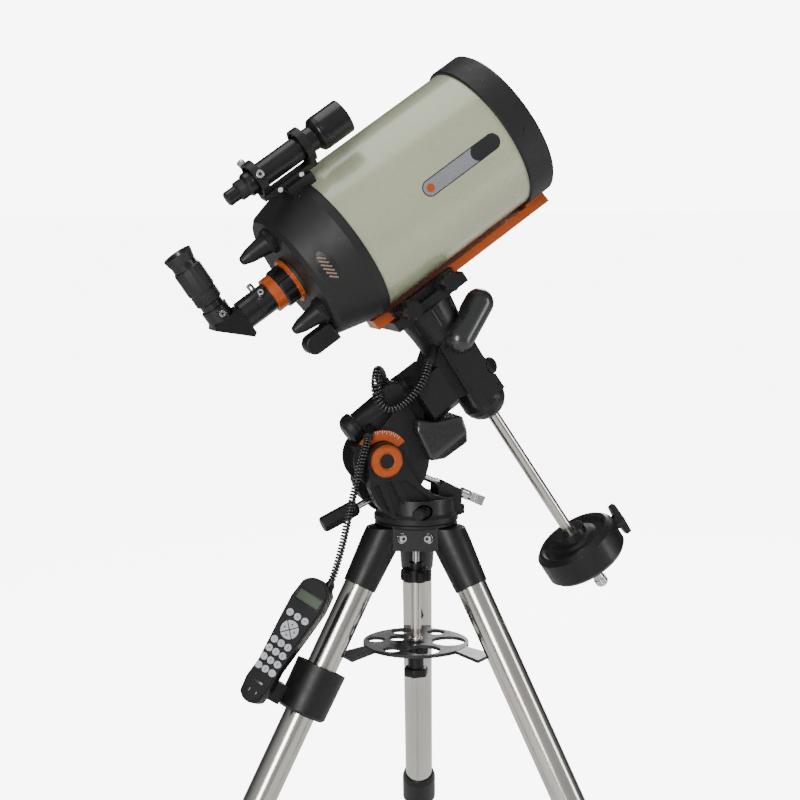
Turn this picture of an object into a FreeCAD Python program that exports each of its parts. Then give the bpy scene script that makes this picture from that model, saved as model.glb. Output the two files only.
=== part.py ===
"""Catadioptric telescope on a motor-driven German equatorial mount, with its tripod and hand control.

Units are millimetres, with +Z up. Every shape is made about the azimuth axis, and save() then moves
it by MIDDLE, so that the origin is on the floor under the middle of the whole. The polar axis lies in
the XZ plane and rises towards +X. Each piece is its own solid or group of solids, and every placement
comes from the driving sizes below.
"""

import FreeCAD, Part

import math
import os
from FreeCAD import Matrix, Placement, Rotation, Vector

os.makedirs("parts", exist_ok=True)

# ---------------------------------------------------------------- clearances
RUN = 0.3  # between curved faces of bodies that move on each other
FLAT = 0.2  # between flat faces of bodies that move on each other
SHAFT = 0.06  # radial clearance of a screw or pin in its own hole

# ---------------------------------------------------------------- tripod
HUB_Z = 695.0  # the tripod head's top face above the floor
HUB_R = 62.0
HUB_PLATE = 6.5
HUB_DEPTH = 40.0  # how far the ears reach below the top face
HUB_CORE_R = 22.0
EAR_REACH = 52.8  # flat outer faces of the ears, from the azimuth axis
LEG_ANGLES = {"right": -52.25, "rear": 67.75, "left": 187.75}
LEG_SPLAY = 28.67  # leg to the vertical, open
LEG_FOLD = 20.0  # how far a leg swings in
LEG_START_R = 64.7  # radius of the leg axis at LEG_START_Z
LEG_START_Z = -34.4
PIVOT_R = 44.0  # hinge pins, from the azimuth axis
PIVOT_Z = -20.0
PIN_R = 4.0
PIN_HEAD_R = 6.5
TUBE_R = 23.2
TUBE_WALL = 1.5
TUBE_LENGTH = 575.0
TUBE_TOP = -6.0  # along the leg, from its start
SOCKET_TOP_R = 28.4
SOCKET_END_R = 25.4
SOCKET_TOP = 36.0
SOCKET_END = -68.0
CLAMP_R = 28.5
CLAMP_BOSS_R = 10.5
CLAMP_LENGTH = 62.0
INNER_R = 20.0
INNER_WALL = 1.6
INNER_OVERLAP = 410.0  # inner tube held in the outer one, closed up
FOOT_R = 22.5
FOOT_LENGTH = 42.0
LEG_KNOB_R = 17.0
LEG_KNOB_LENGTH = 20.0

ROD_R = 5.0
ROD_SLEEVE_R = 8.0
TRAY_Z = -194.0  # mid-plane of the tray, from the head's top face
TRAY_T = 5.0
TRAY_R = 81.0
TRAY_TIP_R = 121.0
TRAY_TIP_DROP = 7.0
HEAD_KNOB_R = 23.5
HEAD_KNOB_Z = -84.0
KNOB_H = 18.0
EYEPIECE_2_HOLE = 25.6
EYEPIECE_1_HOLE = 14.0

# ---------------------------------------------------------------- mount base
BASE_R = 64.0
BASE_RING = 12.0
SKIRT_R = 59.0
SKIRT_H = 36.0
CAVITY_H = 31.0
ALT_X = -65.0  # altitude axis, from the azimuth axis
ALT_Z = 99.0  # altitude axis, above the tripod head
ARM_R = 27.0
ARM_IN = 28.0  # inner faces of the fork's arms
ARM_OUT = 45.0
TAIL_R = 30.0  # barrel of the polar housing on the altitude axis
CHEEK_R = 44.0
SECTOR_R = 77.0
SECTOR_FROM = -42.0
SECTOR_TO = 20.0
SECTOR_HALF = 25.0
TRUNNION_R = 11.0
CAP_R = 24.4
CAP_H = 8.0
BOLT_SLOPE = 24.2  # altitude bolts dip outward by this angle
BOLT_R = 5.0
FRONT_GRIP = (72.0, 36.6)  # where the front altitude bolt's handle starts
REAR_GRIP = (-95.0, 24.6)  # where the rear one's grip starts
PEG_X = 46.0
PEG_R = 7.0
PEG_H = 30.0
CAVITY_R = PEG_X + PEG_R + 1.5
AZ_BOLT_Z = 20.0
AZ_BOLT_ANGLE = 45.5
AZ_BOLT_R = 4.0
AZ_KNOB_R = 9.0
AZ_KNOB = (70.0, 104.0)  # knob's ends, from the peg's centre
AZ_TIP_GAP = 0.5

# ---------------------------------------------------------------- equatorial head
LATITUDE = 34.56  # the polar axis above the horizon
CROSS_X = 57.45  # crossing of the polar and declination axes, from the azimuth axis
CROSS_Z = 254.04  # and above the tripod head
DRUM_R = 70.0  # turning drum on the polar axis
DRUM_BACK = -92.0
DRUM_FRONT = -45.0
DRUM_TOP = 8.0
DRUM_HALF = 48.0
POLAR_SHAFT_R = 13.0
POLAR_R = (17.5, 21.0)  # polar tube at its tail and at the drum
POLAR_BACK = -187.0
POLAR_CAP_R = 22.5
POLAR_CAP_LENGTH = 20.0
RA_KNOB = (-124.0, 20.0)
RA_KNOB_R = 17.5
DEC_R = (41.0, 37.0, 34.5)
DEC_N = (45.7, -10.0, -91.0)
DEC_SHAFT_R = 14.0
DEC_CAP_LENGTH = 27.0
DEC_CLUTCH_ANGLE = 50.0  # from the sky side towards the near side
DEC_CLUTCH_R = 13.0
DEC_CLUTCH_N = -45.0
CONE_R = (41.0, 46.0)
CONE_TOP = 85.0
SADDLE_FLOOR = 100.2
SADDLE_A = (-62.6, 69.0)
SADDLE_Y = (-42.0, 36.0)
JAW_BACK = -32.5
KNOB_A = {"front": 36.0, "rear": -35.0}
SADDLE_KNOB_R = 15.5
SADDLE_KNOB_N = 107.5
CW_SHAFT_R = 9.0
CW_SHAFT_END = -452.0
CW_R = 67.5
CW_TOP = -367.0
CW_THICK = 50.0
CW_COLLAR_R = 24.0
CW_COLLAR_H = 13.0
NUT_R = 10.5

# ---------------------------------------------------------------- optical tube
OTA_N = 235.3  # optical axis to polar axis
OTA_R = 115.0
OTA_WALL = 1.6
OTA_BACK = -55.8
OTA_FRONT = 215.0
RING_R = 120.0
RING_LENGTH = 46.3
CELL_BACK = -139.5
CELL_BACK_R = 103.7
CORRECTOR_R = 103.7
CORRECTOR_T = 5.0
CORRECTOR_SET = 29.2  # the corrector in front of the painted tube
CORRECTOR_A = OTA_FRONT + CORRECTOR_SET
SECONDARY_R = 34.0
MIRROR_GAP = 13.4  # round the mirror, inside the cell
MIRROR_R = OTA_R - OTA_WALL - MIRROR_GAP
MIRROR_A = (-110.0, -88.0)
BAFFLE_R = 22.5
BAFFLE_END = 100.0
DOVETAIL_OVER = (25.2, 36.0)  # the bar beyond the painted tube, at the back and the front
DOVETAIL_A = (OTA_BACK - DOVETAIL_OVER[0], OTA_FRONT + DOVETAIL_OVER[1])
DOVETAIL_H = 13.0
DOVETAIL_HALF = 22.0
BARREL_R = 15.875  # standard eyepiece barrel
DIAGONAL_A = -261.0
FINDER_ANGLE = 17.7  # round the tube, from its top towards the near side
FINDER_RADIUS = 165.0
FINDER_RINGS = (-116.0, -34.0)
FINDER_TUBE_R = 18.0
REAR_KNOBS = {"focus": (68.8, 139.1), "lock": (69.6, 12.4)}  # radius, degrees from the top to the near side

# ---------------------------------------------------------------- hand control
SET_LENGTH = 205.0
SET_WIDTH = 54.0
SET_WAIST = 37.0
SET_DEPTH = 26.0
SET_OUT = 83.4  # hand control's centre off the leg's axis, outward
SET_NEAR = 18.5  # and towards the near side
SET_DOWN = -186.0  # and down the leg
SET_TURN = 47.0
SET_LEAN = 7.0
KEY_R = 5.4
KEY_PITCH = 12.2
KEY_ROW = 14.4
KEY_TOP = 39.6  # the upper row of keys, from the middle of the case
NUMBER_TOP = -5.2
PAD_R = 14.0
PAD_Z = 17.6
PAD_GAP = 1.4
KEY_RISE = 1.6
KEY_PLAY = 0.9  # how far a key can be pressed
WINDOW = (40.0, 62.0, 78.0)  # width, lower and upper edge of the display
GLAND = (-14.0, -4.0, 86.0)  # root of the cord's gland in the case
GLAND_REACH = 18.0
TONGUE_HALF = 8.0
TONGUE_DEPTH = 5.0
TONGUE_Z = (-92.0, -52.0)
HOLDER_TOP = -200.0
HOLDER_LENGTH = 75.0
HOLDER_R = 35.0
HOLDER_WALL = 3.0

# ---------------------------------------------------------------- cords
CORD_R = 6.0  # outside of the curly cord
DEC_CORD_R = 7.0
PORT_GROW = 1.5  # a port's collar outside the cord
HAND_PORT = (-80.0, -16.0, HUB_Z + 145.0)  # middle of the port's root on the polar housing
PORT_REACH = 22.0
HAND_CORD = [
    (-93.9, -44.0, HUB_Z + 128.0),
    (-104.6, -54.5, HUB_Z + 111.0),
    (-111.4, -56.5, HUB_Z + 88.0),
    (-117.9, -55.5, HUB_Z + 61.0),
    (-124.7, -54.0, HUB_Z + 32.0),
    (-130.6, -53.0, HUB_Z + 3.0),
    (-138.0, -52.0, HUB_Z - 28.0),
    (-148.0, -53.0, HUB_Z - 60.0),
]
DEC_PORT = (-26.0, -24.0, 30.0)  # root of its port on the declination housing, in the head frame
DEC_PORT_REACH = 30.0
RA_PORT = (-122.0, -20.0, 24.0)
RA_PORT_REACH = 15.0
DEC_CORD = [
    (-4.0, -52.0, HUB_Z + 231.0),
    (-16.6, -60.0, HUB_Z + 211.9),
    (-33.9, -65.0, HUB_Z + 194.4),
    (-53.3, -66.5, HUB_Z + 181.0),
    (-70.5, -67.0, HUB_Z + 178.0),
    (-83.5, -66.0, HUB_Z + 188.7),
    (-88.6, -64.0, HUB_Z + 205.7),
    (-86.0, -58.0, HUB_Z + 224.0),
    (-79.6, -49.0, HUB_Z + 237.0),
    (-69.0, -37.0, HUB_Z + 229.0),
]


# ---------------------------------------------------------------- the row's origin
MIDDLE = (40.0, -29.0, 0.0)


# ================================================================ helpers
def outline(points):
    """A closed wire in the XY plane; four numbers are an arc's middle and end."""
    edges = []
    start = Vector(points[0][-2], points[0][-1], 0)
    first = start
    for point in list(points[1:]) + [points[0]]:
        end = Vector(point[-2], point[-1], 0)
        if (end - start).Length < 1e-9:
            continue
        if len(point) == 4:
            edges.append(Part.Arc(start, Vector(point[0], point[1], 0), end).toShape())
        else:
            edges.append(Part.LineSegment(start, end).toShape())
        start = end
    assert (start - first).Length < 1e-6
    return Part.Wire(edges)


def prism(points, height, base=0.0):
    """The outline in the XY plane, raised along Z."""
    face = Part.Face(outline(points))
    face.translate(Vector(0, 0, base))
    return face.extrude(Vector(0, 0, height))


def slab(points, near, far):
    """The outline in the XZ plane, raised along Y from near to far."""
    made = prism(points, far - near)
    made.rotate(Vector(0, 0, 0), Vector(1, 0, 0), 90)
    made.translate(Vector(0, far, 0))
    return made


def turned(points):
    """A solid of revolution about Z from (radius, height) points."""
    face = Part.Face(outline(points))
    face.rotate(Vector(0, 0, 0), Vector(1, 0, 0), 90)
    solid = face.revolve(Vector(0, 0, 0), Vector(0, 0, 1), 360)
    return solid


def along(shape, origin, direction, roll=0.0):
    """Turns a shape's own +Z to a direction and moves its origin."""
    spin = Rotation(Vector(0, 0, 1), roll)
    turn = Rotation(Vector(0, 0, 1), direction)
    made = shape.copy()
    made.Placement = Placement(origin, turn.multiply(spin)).multiply(made.Placement)
    return made


def rod(radius, start, end):
    """A round bar between two points."""
    axis = end - start
    return Part.makeCylinder(radius, axis.Length, start, axis)


def box(low, high):
    """A box from its lowest to its highest corner."""
    size = [high[i] - low[i] for i in range(3)]
    return Part.makeBox(size[0], size[1], size[2], Vector(*low))


def placed(shape, placement):
    """A copy of the shape, moved by a placement."""
    made = shape.copy()
    made.Placement = placement.multiply(made.Placement)
    return made


def joined(*shapes):
    """One solid from shapes that overlap or touch."""
    first = shapes[0]
    return first.fuse(list(shapes[1:])).removeSplitter() if len(shapes) > 1 else first


def lobed_knob(radius, height, lobes=6, scallop=0.36, bore=None):
    """A hand knob with scalloped sides, standing on Z = 0."""
    body = turned(
        [(0, 0), (radius - 1.5, 0), (radius, 1.5), (radius, height - 3), (radius - 3, height), (0, height)]
    )
    cut_r = radius * scallop
    for k in range(lobes):
        angle = 2 * math.pi * k / lobes
        centre = Vector(math.cos(angle), math.sin(angle), 0) * (radius * 1.14)
        body = body.cut(Part.makeCylinder(cut_r, height, centre))
    if bore:
        body = body.cut(Part.makeCylinder(bore, height))
    return body


def polar(radius, degrees, z=0.0):
    """A point from its radius and angle about Z."""
    angle = math.radians(degrees)
    return Vector(radius * math.cos(angle), radius * math.sin(angle), z)


def save(name, *shapes):
    """Writes one node from its solids, moved so that the row's origin is under the middle of the whole."""
    solids = [solid for shape in shapes for solid in shape.Solids]
    assert all(solid.isValid() and solid.Volume > 0 for solid in solids), name
    node = solids[0] if len(solids) == 1 else Part.makeCompound(solids)
    node.translate(Vector(*MIDDLE))
    node.exportStep("parts/" + name + ".step")


# ================================================================ frames
HEAD = Placement(Vector(CROSS_X, 0, HUB_Z + CROSS_Z), Rotation(Vector(0, 1, 0), -LATITUDE))
# head frame: X along the polar axis to the sky, Y as the row's, Z along the declination axis to the tube
OTA = HEAD.multiply(Placement(Vector(0, 0, OTA_N), Rotation(Vector(0, 1, 0), 90)))
# optical frame: Z along the optical axis to the sky, -X to the top of the tube, Y as the row's
BASE = Placement(Vector(0, 0, HUB_Z), Rotation())
ALT_AXIS = Vector(ALT_X, 0, HUB_Z + ALT_Z)


def leg_frame(side):
    """The frame of a leg: Z up along the leg, X outward and Y round the head."""
    swing = Placement(Vector(0, 0, HUB_Z), Rotation(Vector(0, 0, 1), LEG_ANGLES[side]))
    start = Placement(Vector(LEG_START_R, 0, LEG_START_Z), Rotation(Vector(0, 1, 0), -LEG_SPLAY))
    return swing.multiply(start)


def ota_point(radius, degrees, a):
    """A point in the optical frame: degrees run from the top of the tube towards the near side."""
    angle = math.radians(degrees)
    return Vector(-radius * math.cos(angle), -radius * math.sin(angle), a)


def pivot_frame(side):
    """The frame of a leg's hinge: Y along the pin, X outward, Z up."""
    swing = Placement(Vector(0, 0, HUB_Z), Rotation(Vector(0, 0, 1), LEG_ANGLES[side]))
    return swing.multiply(Placement(Vector(PIVOT_R, 0, PIVOT_Z), Rotation()))


FLOOR_S = -(HUB_Z + LEG_START_Z) / math.cos(math.radians(LEG_SPLAY))  # leg axis meets the floor here


def port_end(root, toward, reach=PORT_REACH):
    """Where a port's collar ends and its cord starts."""
    way = Vector(*toward) - root
    return root + way.normalize() * reach


def port(root, toward, radius, reach=PORT_REACH):
    """A port's collar, in the row's frame."""
    return rod(radius + PORT_GROW, root, port_end(root, toward, reach))


# ================================================================ tripod
def tripod_hub():
    """The head casting: top plate, core and three pairs of ears, with the azimuth peg."""
    plate = turned(
        [
            (0, -HUB_PLATE),
            (HUB_R - 2, -HUB_PLATE),
            (HUB_R, 2 - HUB_PLATE),
            (HUB_R, -1.5),
            (HUB_R - 1.5, 0),
            (0, 0),
        ]
    )
    core = Part.makeCylinder(HUB_CORE_R, HUB_DEPTH, Vector(0, 0, -HUB_DEPTH))
    parts = [plate, core]
    side = SOCKET_TOP_R + RUN
    root3 = math.sqrt(3.0)
    apex = 2 * side / root3 + 0.4
    half = (EAR_REACH * root3 / 2 - side) * 2
    for angle in LEG_ANGLES.values():
        ear = prism([(apex, 0), (EAR_REACH, -half), (EAR_REACH, half)], HUB_DEPTH - 2, -HUB_DEPTH)
        ear.rotate(Vector(0, 0, 0), Vector(0, 0, 1), angle + 60)
        parts.append(ear)
    hub = joined(*parts)
    hub = joined(hub, Part.makeCylinder(PEG_R, PEG_H + 2, Vector(PEG_X, 0, -2)))
    hub = hub.cut(Part.makeCylinder(ROD_R + 0.5, 200, Vector(0, 0, -100)))
    hub = placed(hub, BASE)
    for side_name in LEG_ANGLES:
        hub = hub.cut(pivot_pin(side_name, SHAFT))
    return hub


def pivot_pin(side, grow=0.0):
    """The pin and two heads that a leg hinges on."""
    reach = (EAR_REACH - PIVOT_R / 2) / (math.sqrt(3.0) / 2)
    head = 7.0
    pin = rod(PIN_R + grow, Vector(0, -reach, 0), Vector(0, reach, 0))
    heads = [
        rod(PIN_HEAD_R + grow, Vector(0, s * (reach - 3 - grow), 0), Vector(0, s * (reach - 3 + head), 0))
        for s in (-1, 1)
    ]
    whole = joined(pin, *heads)
    return placed(whole, pivot_frame(side))


def leg_socket(side):
    """The casting that holds the leg's tube under the head."""
    body = turned(
        [
            (0, SOCKET_END),
            (SOCKET_END_R - 1, SOCKET_END),
            (SOCKET_END_R, SOCKET_END + 1),
            (SOCKET_TOP_R, 0),
            (SOCKET_TOP_R, SOCKET_TOP),
            (0, SOCKET_TOP),
        ]
    )
    body = body.cut(Part.makeCylinder(TUBE_R, TUBE_TOP - SOCKET_END, Vector(0, 0, SOCKET_END)))
    cheek = rod(15.0, Vector(0, -SOCKET_TOP_R, 0), Vector(0, SOCKET_TOP_R, 0))
    body = joined(placed(body, leg_frame(side)), placed(cheek, pivot_frame(side)))
    bore = rod(PIN_R, Vector(0, -60, 0), Vector(0, 60, 0))
    body = body.cut(placed(bore, pivot_frame(side)))
    plate = box((-300, -300, HUB_Z - HUB_PLATE - RUN), (300, 300, HUB_Z + 100))
    core = Part.makeCylinder(HUB_CORE_R + 1.0, HUB_DEPTH + 30, Vector(0, 0, HUB_Z - HUB_DEPTH - 2))
    knob = Part.makeCylinder(HEAD_KNOB_R + 1.0, KNOB_H + 30, Vector(0, 0, HUB_Z + HEAD_KNOB_Z - 20))
    pivot = pivot_frame(side).multVec(Vector(0, 0, 0))
    axis = pivot_frame(side).Rotation.multVec(Vector(0, 1, 0))
    for obstacle in (plate, core, knob):
        body = body.cut(obstacle)
        folded = obstacle.copy()
        folded.rotate(pivot, axis, -LEG_FOLD)
        body = body.cut(folded)
    return body


def leg_clamp(side):
    """The lower casting: it holds the tube's end and grips the inner tube."""
    low = -TUBE_LENGTH + TUBE_TOP - 30
    high = low + CLAMP_LENGTH
    body = turned(
        [
            (INNER_R + RUN, low),
            (CLAMP_R - 3, low),
            (CLAMP_R, low + 4),
            (CLAMP_R, high - 10),
            (TUBE_R + 2.5, high),
            (TUBE_R, high),
            (TUBE_R, low + 30),
            (INNER_R + RUN, low + 30),
        ]
    )
    boss = rod(CLAMP_BOSS_R, Vector(CLAMP_R - 6, 0, low + 15), Vector(CLAMP_R + 9, 0, low + 15))
    body = joined(body, boss.cut(Part.makeCylinder(CLAMP_R - 1, 80, Vector(0, 0, low - 5))))
    hole = rod(3.0 + SHAFT, Vector(INNER_R, 0, low + 15), Vector(CLAMP_R + 20, 0, low + 15))
    return placed(body.cut(hole), leg_frame(side))


def leg_knob(side):
    """The knob that locks the inner tube."""
    z = -TUBE_LENGTH + TUBE_TOP - 15
    knob = lobed_knob(LEG_KNOB_R, LEG_KNOB_LENGTH, 5)
    knob = along(knob, Vector(CLAMP_R + 9.4, 0, z), Vector(1, 0, 0))
    screw = rod(3.0, Vector(INNER_R + RUN, 0, z), Vector(CLAMP_R + 12, 0, z))
    return placed(joined(knob, screw), leg_frame(side))


def leg_tube(side):
    """The polished upper tube."""
    high = Vector(0, 0, TUBE_TOP)
    low = Vector(0, 0, TUBE_TOP - TUBE_LENGTH)
    tube = rod(TUBE_R, low, high).cut(rod(TUBE_R - TUBE_WALL, low, high))
    return placed(tube, leg_frame(side))


def leg_inner(side):
    """The inner tube and the rubber foot on its end."""
    end = FLOOR_S + FOOT_LENGTH * 0.55
    top = -TUBE_LENGTH + TUBE_TOP + INNER_OVERLAP
    tube = rod(INNER_R, Vector(0, 0, end), Vector(0, 0, top))
    tube = tube.cut(rod(INNER_R - INNER_WALL, Vector(0, 0, end), Vector(0, 0, top)))
    foot = turned(
        [
            (0, FLOOR_S - 30),
            (FOOT_R, FLOOR_S - 30),
            (FOOT_R, end),
            (FOOT_R - 1.5, end + 8),
            (INNER_R, end + 8),
            (INNER_R, end),
            (0, end),
        ]
    )
    frame = leg_frame(side)
    foot = placed(foot, frame).cut(box((-900, -900, -100), (900, 900, 0)))
    return placed(tube, frame), foot


def centre_rod():
    """The threaded rod with its spacer sleeve."""
    bar = Part.makeCylinder(ROD_R, 232.0, Vector(0, 0, -228))
    sleeve_top = HEAD_KNOB_Z - 14
    sleeve_low = TRAY_Z + TRAY_T / 2 + 3
    sleeve = Part.makeCylinder(ROD_SLEEVE_R, sleeve_top - sleeve_low, Vector(0, 0, sleeve_low))
    stop = Part.makeCylinder(11.0, 3.0, Vector(0, 0, sleeve_low))
    return placed(joined(bar, sleeve, stop), BASE)


def head_knob():
    """The knob that draws the mount down on the head."""
    knob = lobed_knob(HEAD_KNOB_R, KNOB_H, 6)
    collar = Part.makeCylinder(11.0, 10.0, Vector(0, 0, KNOB_H))
    knob = joined(knob, collar).cut(Part.makeCylinder(ROD_R + SHAFT, 80, Vector(0, 0, -10)))
    knob.translate(Vector(0, 0, HEAD_KNOB_Z - 12))
    return placed(knob, BASE)


def tray_knob():
    """The knob under the tray."""
    knob = lobed_knob(19.0, 14.0, 6).cut(Part.makeCylinder(ROD_R + SHAFT, 80, Vector(0, 0, -10)))
    knob.translate(Vector(0, 0, TRAY_Z - TRAY_T / 2 - 14 - FLAT))
    return placed(knob, BASE)


def accessory_tray():
    """The plate that spreads the legs, with holes for eyepieces."""
    low = TRAY_Z - TRAY_T / 2
    plate = Part.makeCylinder(TRAY_R, TRAY_T, Vector(0, 0, low))
    arms = []
    for angle in LEG_ANGLES.values():
        plan = prism(
            [(60, -26), (TRAY_R, -16), (TRAY_TIP_R, -22), (TRAY_TIP_R, 22), (TRAY_R, 16), (60, 26)],
            60,
            low - 30,
        )
        drop = TRAY_TIP_DROP
        side = slab(
            [
                (60, low),
                (TRAY_R - 4, low),
                (TRAY_TIP_R, low - drop),
                (TRAY_TIP_R, low - drop + TRAY_T),
                (TRAY_R - 4, low + TRAY_T),
                (60, low + TRAY_T),
            ],
            -30,
            30,
        )
        arm = plan.common(side)
        arm.rotate(Vector(0, 0, 0), Vector(0, 0, 1), angle)
        arms.append(arm)
    tray = joined(plate, *arms)
    hub = Part.makeCylinder(13.0, 6.0, Vector(0, 0, low))
    large = [(50.0, -20.0), (50.5, -98.5)]
    small = [(61.0, 38.0), (61.0, 92.0), (62.0, 150.0), (59.5, 212.0), (33.0, 128.0)]
    holes = [(EYEPIECE_2_HOLE, r, a) for r, a in large] + [(EYEPIECE_1_HOLE, r, a) for r, a in small]
    for radius, reach, angle in holes:
        tray = tray.cut(Part.makeCylinder(radius, 30, polar(reach, angle, low - 10)))
    tray = joined(tray, hub).cut(Part.makeCylinder(ROD_R + RUN, 40, Vector(0, 0, low - 10)))
    return placed(tray, BASE)


def build_tripod():
    """Writes every node of the tripod."""
    save("tripod_hub", tripod_hub())
    for side in LEG_ANGLES:
        save("leg_castings_" + side, leg_socket(side), leg_clamp(side), pivot_pin(side))
        save("leg_tube_" + side, leg_tube(side))
        save("leg_inner_" + side, *leg_inner(side))
        save("leg_knob_" + side, leg_knob(side))
    save("centre_rod", centre_rod())
    save("head_knob", head_knob())
    save("accessory_tray", accessory_tray())
    save("tray_knob", tray_knob())


# ================================================================ mount base
def base_point(x, z):
    """A point in the mount's middle plane, from the tripod head's top."""
    return Vector(x, 0, HUB_Z + z)


def slope(x, z, length):
    """The point a length further down a bolt that slopes outward."""
    angle = math.radians(BOLT_SLOPE)
    way = 1.0 if x > 0 else -1.0
    return base_point(x + way * length * math.cos(angle), z - length * math.sin(angle))


def azimuth_line(side):
    """Unit direction from the peg outward along an azimuth bolt."""
    angle = math.radians(AZ_BOLT_ANGLE)
    return Vector(-math.cos(angle), side * math.sin(angle), 0)


def azimuth_base():
    """The turning base: ring, skirt, two arms, front block and rear web."""
    ring = turned([(0, FLAT), (BASE_R - 1, FLAT), (BASE_R, 1.2), (BASE_R, BASE_RING - 3), (0, BASE_RING - 1)])
    skirt = turned([(0, 6), (BASE_R - 1.5, 9), (SKIRT_R, BASE_RING + 2), (SKIRT_R - 2, SKIRT_H), (0, SKIRT_H)])
    left = ALT_X - ARM_R
    arm = [
        (left, ALT_Z),
        (ALT_X, ALT_Z + ARM_R, ALT_X + ARM_R, ALT_Z),
        (-15, 65),
        (12, 43),
        (36, SKIRT_H),
        (36, 5),
        (-36, 5),
        (-56, 12),
        (-78, 32),
        (-90, 58),
    ]
    pockets = [
        [(-86, 60), (-77, 64), (-58, 20), (-72, 34)],
        [(-68, 68), (-57, 69), (-29, 15), (-49, 15)],
        [(-46, 67), (-33, 68), (4, 39), (7, 29), (-17, 15)],
    ]
    front = FRONT_GRIP[0] - 4.0
    block = slab([(30, 4), (front, 4), (front, 43), (40, 58), (30, 50)], -17, 17)
    lug = slab([(front - 5, 4), (front + 8, 4), (front + 8, 18), (front - 5, 22)], -9, 9)
    web = slab([(-60, 30), (-40, 30), (-40, 52), (-54, 48), (-60, 44)], -ARM_IN - 1, ARM_IN + 1)
    parts = [ring, skirt, block, lug, web]
    for way in (-1, 1):
        near, far = sorted((way * ARM_IN, way * ARM_OUT))
        piece = slab(arm, near, far)
        for pocket in pockets:
            low, high = sorted((way * (ARM_OUT - 4.5), way * (ARM_OUT + 1)))
            piece = piece.cut(slab(pocket, low, high))
        parts.append(piece)
    base = joined(*parts)
    base = base.cut(Part.makeCylinder(CAVITY_R, CAVITY_H + 5, Vector(0, 0, -5)))
    base = base.cut(Part.makeCylinder(ROD_R + 1, 80, Vector(0, 0, -5)))
    base = placed(base, BASE)
    peg = base_point(PEG_X, AZ_BOLT_Z)
    for way in (-1, 1):
        line = azimuth_line(way)
        base = base.cut(rod(AZ_BOLT_R + SHAFT, peg, peg + line * 90))
        base = base.cut(rod(AZ_KNOB_R + 2, peg + line * (AZ_KNOB[0] - 6), peg + line * 160))
    x, z = FRONT_GRIP
    base = base.cut(rod(BOLT_R + SHAFT, slope(x, z, -90), slope(x, z, 20)))
    x, z = REAR_GRIP
    base = base.cut(rod(BOLT_R + SHAFT, slope(x, z, -75), slope(x, z, 20)))
    bearing = rod(TRUNNION_R + SHAFT, ALT_AXIS + Vector(0, -80, 0), ALT_AXIS + Vector(0, 80, 0))
    return base.cut(bearing)


def azimuth_knob(way):
    """An azimuth bolt with its knob; way is -1 for the near one."""
    line = azimuth_line(way)
    peg = base_point(PEG_X, AZ_BOLT_Z)
    bolt = rod(AZ_BOLT_R, peg + line * (PEG_R + AZ_TIP_GAP), peg + line * (AZ_KNOB[0] + 5))
    rim = AZ_KNOB[1] - AZ_KNOB[0] - 2
    knob = turned([(0, 0), (6, 0), (AZ_KNOB_R, 4), (AZ_KNOB_R, rim), (7, 34), (0, 34)])
    for k in range(6):
        flute = Part.makeCylinder(1.8, 22, polar(AZ_KNOB_R + 0.6, 60 * k, 8))
        knob = knob.cut(flute)
    return joined(bolt, along(knob, peg + line * AZ_KNOB[0], line))


def altitude_bolt_front():
    """The front altitude bolt with its T handle."""
    x, z = FRONT_GRIP
    tip = SECTOR_R + 0.4
    reach = math.hypot(x - ALT_X, z - ALT_Z) - tip
    bolt = rod(BOLT_R, slope(x, z, -reach), slope(x, z, 6))
    stem = rod(8.0, slope(x, z, 1.5), slope(x, z, 16))
    grip = slab([(-6, 14), (6, 14), (7.5, 18), (7.5, 30), (-7.5, 30), (-7.5, 18)], -29, 29)
    for way in (-1, 1):
        grip = grip.cut(slab([(-8, 13), (8, 13), (8, 21), (-8, 21)], *sorted((way * 15, way * 30))))
    axis = slope(x, z, 1) - slope(x, z, 0)
    return joined(bolt, stem, along(grip, slope(x, z, 0), axis))


def altitude_bolt_rear():
    """The rear altitude bolt with its long hexagonal grip."""
    x, z = REAR_GRIP
    bolt = rod(BOLT_R, slope(x, z, -60), slope(x, z, 6))
    radius = 12.7
    hexagon = [tuple(polar(radius, 60 * k + 30))[:2] for k in range(6)]
    grip = prism(hexagon, 60)
    cone = turned([(0, 0), (9.5, 0), (13, 6), (13, 56), (10.5, 60), (0, 60)])
    axis = slope(x, z, 1) - slope(x, z, 0)
    return joined(bolt, along(grip.common(cone), slope(x, z, 0), axis))


def altitude_caps():
    """Rings on the trunnions and the two latitude scales."""
    made = []
    for way in (-1, 1):
        ring = turned(
            [
                (TRUNNION_R, RUN),
                (CAP_R, RUN),
                (CAP_R, CAP_H - 3),
                (CAP_R - 3, CAP_H),
                (TRUNNION_R + 3, CAP_H),
                (TRUNNION_R, CAP_H - 3),
            ]
        )
        made.append(along(ring, ALT_AXIS + Vector(0, way * ARM_OUT, 0), Vector(0, way, 0)))
        scale = turned([(ARM_R + 1, 0), (CHEEK_R - 0.5, 0), (CHEEK_R - 0.5, 1.5), (ARM_R + 1, 1.5)])
        wedge = prism([(0, 0), (60, 42), (60, 70), (-60, 70), (-60, 42)], 1.5)
        scale = scale.common(wedge)
        scale.rotate(Vector(0, 0, 0), Vector(1, 0, 0), 90)
        low = -ARM_IN + 0.7 if way < 0 else ARM_IN - 0.7 + 1.5
        scale.translate(ALT_AXIS + Vector(0, low, 0))
        made.append(scale.cut(port(Vector(*HAND_PORT), HAND_CORD[0], CORD_R + RUN)))
    return made


# ================================================================ equatorial head
def head(shape):
    """Moves a shape from the head frame to the row."""
    return placed(shape, HEAD)


def on_polar(shape):
    """Turns a shape's own Z to the polar axis, in the head frame."""
    return along(shape, Vector(0, 0, 0), Vector(1, 0, 0))


def polar_bore():
    """The bore that the polar shaft turns in, about its own Z."""
    return Part.makeCylinder(POLAR_SHAFT_R + SHAFT, 200, Vector(0, 0, -260))


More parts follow.
